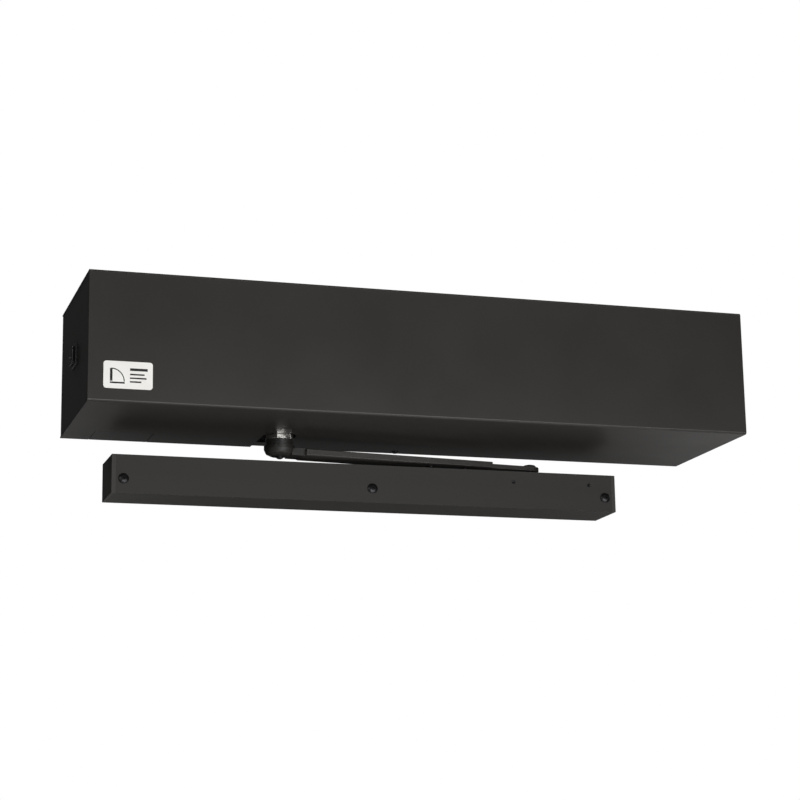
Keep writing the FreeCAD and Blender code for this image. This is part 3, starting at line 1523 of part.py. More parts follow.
def build_track_screws():
    """Three screws through the track: a plain neck inside it, and a thread in the door."""
    level = "%s + track_screw_level" % TRACK_BOTTOM
    screws = []
    for x in screw_places():
        neck = cross_screw(
            x, "-track_depth", level, "y",
            "track_screw_head", "track_screw_rise", "track_screw_neck", "track_depth",
        )
        screws.append(join(neck, bar(x, "0", level, "track_screw_thread", "track_screw_proud", "y")))
    node("track_screws", join(*screws))


def build_stop_screws():
    """Set screw that locks the stop, and a shorter one parked in the spare hole."""
    inner = "(track_depth / 2 - guide_width / 2)"
    z = "%s + stop_screw_level" % TRACK_BOTTOM
    setters = []
    for place, depth in (
        ("stop_screw_from_end", inner + " + stop_screw_bite"),
        ("stop_spare_from_end", inner + " - stop_screw_spare_gap"),
    ):
        x = "%s - %s" % (TRACK_RIGHT, place)
        stem = bar(
            x, "-track_depth + stop_screw_sunk", z,
            "stop_screw - slide_gap", depth + " - stop_screw_sunk", "y",
        )
        socket = hexagon(x, "-track_depth", z, "stop_screw_socket", "stop_screw_socket_depth", "y")
        setters.append(cut(stem, socket))
    node("stop_screws", join(*setters))


def build_stop():
    """Stop block at the latch end of the guide, with a rubber bumper for the shoe."""
    right = "(%s - track_cap_wall - stop_from_end)" % TRACK_RIGHT
    width = "(guide_width - 2 * shoe_gap)"
    low_y = TRACK_MIDDLE + " - guide_width / 2 + shoe_gap"
    rise = "(%s - %s)" % (SHOE_TOP, SHOE_BOTTOM)
    body = block(right + " - stop_length", low_y, SHOE_BOTTOM, "stop_length", width, rise)
    hole = bar(
        "%s - stop_screw_from_end" % TRACK_RIGHT, "-track_depth", "%s + stop_screw_level" % TRACK_BOTTOM,
        "stop_screw", "track_depth / 2 - guide_width / 2 + stop_screw_bite", "y",
    )
    node("track_stop", cut(body, hole))
    bumper = block(
        right + " - stop_length - bumper_length",
        low_y + " + bumper_margin",
        SHOE_BOTTOM + " + bumper_margin",
        "bumper_length", width + " - 2 * bumper_margin", rise + " - 2 * bumper_margin",
    )
    node("stop_bumper", bumper)


# ---------------------------------------------------------------- build and export
def build_all():
    build_back_plate()
    build_cover()
    build_cover_infill()
    build_end_caps()
    build_casing_screws()
    build_maker_plate()
    build_switch()
    build_casting()
    build_end_plugs()
    build_valves()
    build_bushes()
    build_spindle()
    build_piston()
    build_spring()
    build_drive()
    build_motor()
    build_bracket()
    build_transformer()
    build_board()
    build_board_parts()
    build_terminal_strip()
    build_leads()
    build_collar()
    build_hub()
    build_sleeve()
    build_rod()
    build_arm_screws()
    build_stud()
    build_shoe()
    build_rail()
    build_track_caps()
    build_track_screws()
    build_stop_screws()
    build_stop()


def export_all():
    doc.recompute()
    for obj in doc.Objects:
        if "Invalid" in obj.State or "Error" in obj.State:
            raise RuntimeError("%s (%s) failed: %s" % (obj.Label, obj.TypeId, obj.State))
    for obj in NODES:
        if obj.Shape.isNull() or not obj.Shape.isValid() or not obj.Shape.Solids:
            raise RuntimeError("%s has no valid solid" % obj.Label)
    os.makedirs("parts", exist_ok=True)
    for obj in NODES:
        obj.Shape.exportStep("parts/%s.step" % obj.Label)
        print(obj.Label, len(obj.Shape.Solids), "solids", round(obj.Shape.Volume), "mm3")
    print(len(NODES), "sub-parts")


build_all()
export_all()
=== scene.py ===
import json
import math

import bmesh
import bpy
from mathutils import Matrix, Vector


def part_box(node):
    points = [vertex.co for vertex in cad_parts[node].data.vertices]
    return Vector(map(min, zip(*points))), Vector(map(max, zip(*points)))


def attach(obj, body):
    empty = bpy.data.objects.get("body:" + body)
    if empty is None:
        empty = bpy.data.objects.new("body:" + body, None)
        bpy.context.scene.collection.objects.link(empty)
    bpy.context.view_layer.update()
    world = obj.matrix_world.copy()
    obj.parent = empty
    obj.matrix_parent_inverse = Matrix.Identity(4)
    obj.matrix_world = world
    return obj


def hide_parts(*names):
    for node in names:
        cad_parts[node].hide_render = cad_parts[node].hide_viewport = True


# A surface-mounted power door operator: header box, lever arm and slide track.
# Metres, in the CAD frame: X along the header, +Y into the wall, +Z up.

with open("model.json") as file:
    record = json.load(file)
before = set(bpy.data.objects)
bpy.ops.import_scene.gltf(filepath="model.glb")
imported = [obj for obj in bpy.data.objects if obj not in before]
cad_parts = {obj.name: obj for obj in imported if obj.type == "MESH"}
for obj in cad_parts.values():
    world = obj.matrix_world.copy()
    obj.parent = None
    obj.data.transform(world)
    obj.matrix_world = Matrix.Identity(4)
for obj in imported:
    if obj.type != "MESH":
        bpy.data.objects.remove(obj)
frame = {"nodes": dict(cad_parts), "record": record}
NODES = frame["nodes"]
RECORD = frame["record"]
BODY_OF = {
    node: body for body, members in RECORD["behaviour"]["bodies"].items() for node in members
}
SLOT_OF = {part["node"]: part["material_slot"] for part in RECORD["subparts"]}
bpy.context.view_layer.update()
MM = 0.001


# ---------------------------------------------------------------- node helpers
def add(tree, kind, inputs=None, **settings):
    """Adds one node; inputs maps a socket to a number, a colour or another node's output."""
    made = tree.nodes.new(kind)
    for name, setting in settings.items():
        setattr(made, name, setting)
    for socket, content in (inputs or {}).items():
        if isinstance(content, bpy.types.NodeSocket):
            tree.links.new(content, made.inputs[socket])
        else:
            made.inputs[socket].default_value = content
    return made


def srgb(hex_colour):
    """Linear colour from an sRGB hex value, by the curve of the sRGB standard."""
    channels = [int(hex_colour[i:i + 2], 16) / 255 for i in (0, 2, 4)]
    linear = [c / 12.92 if c <= 0.04045 else ((c + 0.055) / 1.055) ** 2.4 for c in channels]
    return (*linear, 1.0)


def per_metre(size_mm):
    """Texture scale that gives features of a real size."""
    return 1 / (size_mm * MM)


def surface(
    name, base, other, patch_mm, grain_mm, depth_mm, rough,
    drawn=(1, 1, 1), share=0.6, edge_highlight=None, **fixed,
):
    """Material with patches of two close colours, a grain that dents it, and an uneven gloss.

    drawn squeezes the pattern's coordinates, so an axis under 1 draws it out along that axis.
    The edge colour is a painted highlight, put on the rounded edges.
    fixed numbers go on the shader's own sockets.  The noise seldom leaves 0.3 to 0.7.
    """
    material = bpy.data.materials.new(name)
    material.use_nodes = True
    tree = material.node_tree
    tree.nodes.clear()
    place = add(tree, "ShaderNodeTexCoord").outputs["Object"]
    pulled = add(tree, "ShaderNodeMapping", {"Vector": place, "Scale": drawn}).outputs["Vector"]
    patches = add(tree, "ShaderNodeTexNoise", {
        "Vector": pulled, "Scale": per_metre(patch_mm), "Detail": 3.0, "Roughness": 0.55,
    })
    grain = add(tree, "ShaderNodeTexNoise", {
        "Vector": pulled, "Scale": per_metre(grain_mm), "Detail": 3.0, "Roughness": 0.6,
    })
    amount = add(tree, "ShaderNodeMapRange", {
        "Value": patches.outputs["Fac"], "From Min": 0.35, "From Max": 0.65, "To Max": share,
    })
    colour = add(tree, "ShaderNodeMixRGB", {
        "Fac": amount.outputs["Result"], "Color1": srgb(base), "Color2": srgb(other),
    }).outputs["Color"]
    gloss = add(tree, "ShaderNodeMapRange", {
        "Value": patches.outputs["Fac"], "From Min": 0.3, "From Max": 0.7,
        "To Min": rough[0], "To Max": rough[1],
    })
    # painted highlight: the rounded edges take a lighter colour than the faces
    if edge_highlight:
        edge = add(tree, "ShaderNodeAttribute", attribute_name="rounded_edge")
        colour = add(tree, "ShaderNodeMixRGB", {
            "Fac": edge.outputs["Fac"], "Color1": colour, "Color2": srgb(edge_highlight),
        }).outputs["Color"]
    bump = add(tree, "ShaderNodeBump", {
        "Height": grain.outputs["Fac"], "Distance": depth_mm * MM,
    })
    shader = add(tree, "ShaderNodeBsdfPrincipled", {
        "Base Color": colour, "Roughness": gloss.outputs["Result"],
        "Normal": bump.outputs["Normal"],
    }, name="Shader")
    for socket, number in fixed.items():
        shader.inputs[socket.replace("_", " ")].default_value = number
    add(tree, "ShaderNodeOutputMaterial", {"Surface": shader.outputs["BSDF"]})
    return material


def print_over(material, mask, ink):
    """Puts an ink colour over a surface's own where the mask is 1."""
    tree = material.node_tree
    shader = tree.nodes["Shader"]
    under = shader.inputs["Base Color"].links[0].from_socket
    printed = add(tree, "ShaderNodeMixRGB", {"Fac": mask, "Color1": under, "Color2": srgb(ink)})
    tree.links.new(printed.outputs["Color"], shader.inputs["Base Color"])


def axes_of(tree):
    """X, Y and Z of the object coordinates, in metres."""
    place = add(tree, "ShaderNodeTexCoord").outputs["Object"]
    split = add(tree, "ShaderNodeSeparateXYZ", {"Vector": place}).outputs
    return {"x": split["X"], "y": split["Y"], "z": split["Z"]}


def bar_mask(tree, axes, **spans):
    """1 inside a box given as low and high metres on some of the axes."""
    mask = None
    for axis, (low, high) in spans.items():
        inside = add(tree, "ShaderNodeMath", {
            0: axes[axis], 1: (low + high) / 2, 2: (high - low) / 2,
        }, operation="COMPARE").outputs[0]
        mask = inside if mask is None else add(tree, "ShaderNodeMath", {
            0: mask, 1: inside,
        }, operation="MULTIPLY").outputs[0]
    return mask


def ring_mask(tree, axes, first, second, centre, radius, line):
    """1 on a circle drawn in the plane of two axes."""
    flat = add(tree, "ShaderNodeCombineXYZ", {"X": axes[first], "Y": axes[second]})
    reach = add(tree, "ShaderNodeVectorMath", {
        0: flat.outputs["Vector"], 1: (*centre, 0),
    }, operation="DISTANCE")
    return add(tree, "ShaderNodeMath", {
        0: reach.outputs["Value"], 1: radius, 2: line / 2,
    }, operation="COMPARE").outputs[0]


def any_of(tree, masks):
    """1 where at least one of the masks is 1."""
    total = masks[0]
    for mask in masks[1:]:
        total = add(tree, "ShaderNodeMath", {
            0: total, 1: mask,
        }, operation="MAXIMUM").outputs[0]
    return total


# ---------------------------------------------------------------- materials
# The edge colours given to these materials are painted highlights on their rounded edges.
def powder_coat():
    """Dark bronze polyester powder coat, baked on sheet steel.

    A satin skin with a fine orange peel; warm grey-brown patches where the coat is thicker.
    """
    return surface(
        "powder_coat_dark_bronze", "1e1b18", "201d19", patch_mm=90, grain_mm=1.6, depth_mm=0.012,
        rough=(0.40, 0.45), share=0.7, edge_highlight="302d29", Specular_IOR_Level=0.38,
    )


def painted_extrusion():
    """Extruded aluminium painted to match: the die's faint lines run along it under the paint."""
    return surface(
        "painted_aluminium_extrusion", "1f1d1a", "22201c", patch_mm=26, grain_mm=1.2,
        depth_mm=0.010, rough=(0.44, 0.52), drawn=(0.02, 1, 1), edge_highlight="322f2b",
        Specular_IOR_Level=0.38,
    )


def painted_forging():
    """Drop-forged steel under paint: a shot-blasted skin that the paint only half fills."""
    return surface(
        "painted_forged_steel", "191817", "201e1c", patch_mm=14, grain_mm=0.9, depth_mm=0.05,
        rough=(0.34, 0.46), edge_highlight="46433f", Specular_IOR_Level=0.5,
    )


def painted_bar():
    """Cold-drawn flat bar under paint: smooth, with long soft draw marks."""
    return surface(
        "painted_drawn_bar", "282624", "2f2c2a", patch_mm=18, grain_mm=0.8, depth_mm=0.012,
        rough=(0.30, 0.40), drawn=(0.05, 1, 1), edge_highlight="4a4743", Specular_IOR_Level=0.55,
    )


def black_oxide():
    """Blackened screw steel: oiled, nearly black, with a low metal shine on its crowns."""
    return surface(
        "black_oxide_steel", "1d1d1f", "29282a", patch_mm=3, grain_mm=0.35, depth_mm=0.006,
        rough=(0.30, 0.42), edge_highlight="4a4a4d", Metallic=0.7,
    )


def nickel_plate():
    """Bright nickel plate on a machined collar: near mirror, with fine turned lines."""
    return surface(
        "bright_nickel_plate", "d3d1cc", "bfbdb8", patch_mm=6, grain_mm=0.25, depth_mm=0.002,
        rough=(0.22, 0.34), drawn=(1, 1, 6), Metallic=1.0,
    )


def black_nylon():
    """Moulded black polyamide with a spark-eroded texture: dull, with slightly shiny high spots."""
    return surface(
        "moulded_black_nylon", "151516", "1c1c1d", patch_mm=8, grain_mm=0.5, depth_mm=0.02,
        rough=(0.42, 0.55), edge_highlight="2a2a2b",
    )


def rocker_nylon():
    """Polished black polyamide rocker, with its on and off marks printed in light grey."""
    material = surface(
        "polished_black_nylon", "1b1b1c", "222223", patch_mm=6, grain_mm=0.4, depth_mm=0.004,
        rough=(0.22, 0.30), edge_highlight="3a3a3b",
    )
    bar_inset, bar_length, bar_half_width = 3.2 * MM, 2.8 * MM, 0.45 * MM
    ring_inset, ring_radius, ring_line = 4.6 * MM, 1.7 * MM, 0.8 * MM
    tree = material.node_tree
    axes = axes_of(tree)
    low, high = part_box("switch_rocker")
    level = (low.z + high.z) / 2
    on_mark = bar_mask(
        tree, axes,
        y=(high.y - bar_inset - bar_length, high.y - bar_inset),
        z=(level - bar_half_width, level + bar_half_width),
    )
    ring_centre = (low.y + ring_inset, level)
    off_mark = ring_mask(tree, axes, "y", "z", ring_centre, ring_radius, ring_line)
    print_over(material, any_of(tree, [on_mark, off_mark]), "c8c8c6")
    return material


def label_laminate():
    """Printed white polyester label under a satin laminate, with a plain door-swing sign."""
    material = surface(
        "white_polyester_label", "e9e8e4", "dedcd7", patch_mm=20, grain_mm=1.0, depth_mm=0.002,
        rough=(0.28, 0.36), share=0.4,
    )
    hinge_inset, hinge_height = 7.5 * MM, 7.0 * MM
    leaf_length, leaf_half_width, swing_line = 12.5 * MM, 1.2 * MM, 1.0 * MM
    wall_length, wall_top, wall_foot = 13.0 * MM, 0.6 * MM, 2.2 * MM
    bars_inset = 25.5
    # height, length and weight of each ruled bar, in mm
    bars = ((19.0, 17.0, 2.6), (14.2, 14.0, 1.5), (10.6, 16.0, 1.5), (7.0, 11.0, 1.5))
    tree = material.node_tree
    axes = axes_of(tree)
    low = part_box("maker_plate")[0]
    hinge = (low.x + hinge_inset, low.z + hinge_height)
    # door sign: the leaf, the wall it closes against and the quarter circle it swings through
    circle = ring_mask(tree, axes, "x", "z", hinge, leaf_length, swing_line)
    quarter = bar_mask(
        tree, axes,
        x=(hinge[0], hinge[0] + 2 * leaf_length), z=(hinge[1], hinge[1] + 2 * leaf_length),
    )
    swing = add(tree, "ShaderNodeMath", {
        0: circle, 1: quarter,
    }, operation="MULTIPLY").outputs[0]
    leaf = bar_mask(
        tree, axes,
        x=(hinge[0] - leaf_half_width, hinge[0] + leaf_half_width),
        z=(hinge[1], hinge[1] + leaf_length),
    )
    wall = bar_mask(
        tree, axes,
        x=(hinge[0] - leaf_half_width, hinge[0] + wall_length),
        z=(hinge[1] - wall_foot, hinge[1] - wall_top),
    )
    shapes = [swing, leaf, wall]
    for level, length, weight in bars:
        shapes.append(bar_mask(
            tree, axes,
            x=(low.x + bars_inset * MM, low.x + (bars_inset + length) * MM),
            z=(low.z + (level - weight / 2) * MM, low.z + (level + weight / 2) * MM),
        ))
    print_over(material, any_of(tree, shapes), "1b1b1b")
    return material


def galvanised():
    """Hot-dip galvanised sheet.

    Pale zinc spangles about 9 mm across, each a little lighter or duller.
    """
    material = surface(
        "galvanised_sheet", "a6a8a8", "8f9294", patch_mm=14, grain_mm=2.0, depth_mm=0.004,
        rough=(0.34, 0.5), Metallic=1.0,
    )
    spangle_mm, spangle_share = 9, 0.35
    tree = material.node_tree
    place = add(tree, "ShaderNodeTexCoord").outputs["Object"]
    spangle = add(tree, "ShaderNodeTexVoronoi", {"Vector": place, "Scale": per_metre(spangle_mm)})
    tint = add(tree, "ShaderNodeRGBToBW", {"Color": spangle.outputs["Color"]})
    shade = add(tree, "ShaderNodeMapRange", {
        "Value": tint.outputs["Val"], "To Min": 0.0, "To Max": spangle_share,
    })
    print_over(material, shade.outputs["Result"], "c9cccd")
    return material


def laminations():
    """Varnished iron sheets.

    They are drawn 1 mm thick, because the real 0.5 mm ones are too fine to show.
    """
    material = surface(
        "varnished_iron_laminations", "5a5550", "6b655f", patch_mm=5, grain_mm=0.6,
        depth_mm=0.01, rough=(0.4, 0.55), Metallic=0.6,
    )
    sheet_mm = 1.0
    wave_turn = 20  # radians that the wave texture turns in one unit of its coordinate
    tree = material.node_tree
    place = add(tree, "ShaderNodeTexCoord").outputs["Object"]
    stripes = add(tree, "ShaderNodeTexWave", {
        "Vector": place, "Scale": per_metre(2 * sheet_mm) * 2 * math.pi / wave_turn,
    }, bands_direction="Y")
    print_over(material, stripes.outputs["Fac"], "3b3733")
    return material


def solder_mask():
    """Green solder mask over copper: straight tracks show through as lighter lines."""
    material = surface(
        "solder_mask_board", "15502c", "1a5c33", patch_mm=12, grain_mm=0.8, depth_mm=0.003,
        rough=(0.22, 0.32),
    )
    unit_mm, track_mm, run_mm, spacing_mm = 30, 0.24, 12, 3.3
    tree = material.node_tree
    place = add(tree, "ShaderNodeTexCoord").outputs["Object"]
    facing = add(tree, "ShaderNodeMapping", {"Vector": place, "Rotation": (-math.pi / 2, 0, 0)})
    tracks = add(tree, "ShaderNodeTexBrick", {
        "Vector": facing.outputs["Vector"], "Scale": per_metre(unit_mm),
        "Mortar Size": track_mm / unit_mm, "Brick Width": run_mm / unit_mm,
        "Row Height": spacing_mm / unit_mm,
    }, offset=0.35)
    print_over(material, tracks.outputs["Fac"], "2f7d46")
    return material


PATTERNED = {
    "zinc_steel": galvanised,
    "core_iron": laminations,
    "board_green": solder_mask,
}

METAL = {"Metallic": 1.0}
ANODISED = {"Metallic": 0.8}
NO_METAL = {}

# The finishes inside the casing: name, base colour, patch colour, patch size, grain size and
# grain depth in mm, roughness from and to, and numbers for the shader.
FINISHES = {
    # Ground bar: bright, with a faint drawn sheen.
    "bright_steel": (
        "ground_bright_steel", "b9bab9", "a9aaaa", 8, 0.3, 0.002, (0.18, 0.28), METAL,
    ),
    # Milled steel: duller, with a cutter's fine marks.
    "machined_steel": (
        "machined_steel", "9b9c9b", "868787", 6, 0.5, 0.006, (0.28, 0.40), METAL,
    ),
    # Oil-tempered wire: blue-grey and smooth.
    "spring_steel": (
        "oil_tempered_wire", "4a4c50", "5b5d60", 5, 0.4, 0.004, (0.25, 0.36), METAL,
    ),
    # Sand-cast iron under grey primer: grainy and matt.
    "casting_grey": (
        "primed_cast_iron", "7a7c7c", "6e7070", 22, 1.1, 0.12, (0.55, 0.7), NO_METAL,
    ),
    # Sintered bronze: brown-gold with open pores.
    "bronze_bush": (
        "sintered_bronze", "a87f4d", "8e6a3f", 4, 0.4, 0.02, (0.4, 0.55), METAL,
    ),
    # Nitrile rubber: matt black with a faint bloom.
    "seal_rubber": (
        "nitrile_rubber", "171717", "222222", 9, 0.7, 0.02, (0.7, 0.85), NO_METAL,
    ),
    # Glass-filled polyamide terminal housing: matt green.
    "terminal_green": (
        "moulded_polyamide_green", "2d7a4b", "2a6f45", 7, 0.5, 0.015, (0.45, 0.55), NO_METAL,
    ),
    # Moulded relay case: smooth mid blue.
    "relay_blue": (
        "moulded_polyester_blue", "2455a0", "2a5ca8", 9, 0.6, 0.008, (0.3, 0.4), NO_METAL,
    ),
    # Shrunk PVC sleeve on a capacitor: dark blue-black, glossy.
    "capacitor_sleeve": (
        "shrink_sleeve_pvc", "20242e", "2a2f3a", 6, 0.8, 0.01, (0.2, 0.3), NO_METAL,
    ),
    # Acetal dial: off-white and slightly waxy.
    "dial_white": (
        "moulded_acetal_white", "e2e0d8", "d6d3ca", 5, 0.4, 0.006, (0.35, 0.45), NO_METAL,
    ),
    # Black anodised aluminium: fine matt skin with a metal sheen.
    "anodised_black": (
        "black_anodised_aluminium", "1d1d1f", "252527", 9, 0.4, 0.006, (0.35, 0.45), ANODISED,
    ),
    # Polyester winding tape: amber and glossy.
    "winding_tape": (
        "polyester_winding_tape", "c9a64a", "b99439", 12, 1.5, 0.02, (0.2, 0.32), NO_METAL,
    ),
    # Tin plate: bright and slightly wavy.
    "tin_plate": (
        "tin_plate", "c3c4c4", "b2b4b5", 8, 0.8, 0.004, (0.2, 0.3), METAL,
    ),
    # Grey PVC sheath: smooth, with a low shine.
    "lead_grey": (
        "pvc_sheath_grey", "5b5d60", "66686b", 10, 0.8, 0.01, (0.38, 0.5), NO_METAL,
    ),
    # Oil-filled cast nylon: dark, waxy, worn smooth where it slides.
    "nylon_shoe": (
        "oil_filled_nylon", "1e2422", "272e2b", 7, 0.6, 0.01, (0.35, 0.5), NO_METAL,
    ),
}


def cap_moulding():
    """Moulded ABS in the paint's colour: a touch flatter and more even than painted metal."""
    return surface(
        "moulded_bronze_abs", "282623", "2c2a26", patch_mm=15, grain_mm=0.6, depth_mm=0.02,
        rough=(0.50, 0.60), edge_highlight="3d3a36", Specular_IOR_Level=0.45,
    )


def make_materials():
    """One material for each slot of the record."""
    made = {
        "bronze_paint": powder_coat(),
        "black_steel": black_oxide(),
        "plate_white": label_laminate(),
        "switch_black": black_nylon(),
    }
    for slot, maker in PATTERNED.items():
        made[slot] = maker()
    for slot, (name, base, other, patch, grain, depth, rough, fixed) in FINISHES.items():
        made[slot] = surface(name, base, other, patch, grain, depth, rough, **fixed)
    made["cap_plastic"] = cap_moulding()
    return made


MATERIALS = make_materials()


# ---------------------------------------------------------------- mesh helpers
def new_piece(name, mesh, material):
    """Object for a mesh, with one material."""
    piece = bpy.data.objects.new(name, mesh)
    bpy.context.scene.collection.objects.link(piece)
    mesh.materials.clear()
    mesh.materials.append(material)
    return piece


def merged_copy(nodes):
    """Copy of CAD nodes' meshes as closed shells with flat areas in one face each."""
    same_point, same_plane = 2e-6, math.radians(0.4)
    work = bmesh.new()
    for node in nodes:
        work.from_mesh(NODES[node].data)
    bmesh.ops.remove_doubles(work, verts=work.verts, dist=same_point)
    bmesh.ops.dissolve_limit(
        work, angle_limit=same_plane, verts=work.verts, edges=work.edges,
        use_dissolve_boundaries=False,
    )
    mesh = bpy.data.meshes.new(nodes[0])
    work.to_mesh(mesh)
    work.free()
    return mesh


def applied(piece):
    """Turns the piece's modifiers into its mesh."""
    graph = bpy.context.evaluated_depsgraph_get()
    mesh = bpy.data.meshes.new_from_object(piece.evaluated_get(graph))
    piece.modifiers.clear()
    piece.data = mesh
    return mesh


def mark_edges(mesh):
    """Turns the material index that Bevel gave its faces into an attribute for the painted edge
    highlight.
    """
    attribute = mesh.attributes.new("rounded_edge", "FLOAT", "FACE")
    for polygon in mesh.polygons:
        attribute.data[polygon.index].value = float(polygon.material_index > 0)
        polygon.material_index = 0


def take_place(piece, body, slot, *nodes):
    """Makes the piece ride on a body and stand for CAD nodes."""
    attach(piece, body)
    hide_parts(*nodes)


def soften(name, nodes, width_mm, material, segments=2, reshape=None):
    """Copies CAD nodes as one piece with its sharp edges rounded by a real width."""
    sharp = math.radians(28)
    mesh = merged_copy(nodes)
    if reshape:
        reshape(mesh)
    for polygon in mesh.polygons:
        polygon.use_smooth = True
    mesh.set_sharp_from_angle(angle=sharp)
    piece = new_piece(name, mesh, material)
    mesh.materials.append(material)
    bevel = piece.modifiers.new("rounding", "BEVEL")
    bevel.width = width_mm * MM
    bevel.segments = segments
    bevel.limit_method = "ANGLE"
    bevel.angle_limit = sharp
    bevel.material = 1
    bevel.harden_normals = True
    mesh = applied(piece)
    mark_edges(mesh)
    while len(mesh.materials) > 1:
        mesh.materials.pop()
    take_place(piece, BODY_OF[nodes[0]], SLOT_OF[nodes[0]], *nodes)


# ---------------------------------------------------------------- screws, in Geometry Nodes
def tree_input(tree, name, kind):
    """Adds a named input to a tree and gives its identifier."""
    return tree.interface.new_socket(name=name, in_out="INPUT", socket_type=kind).identifier


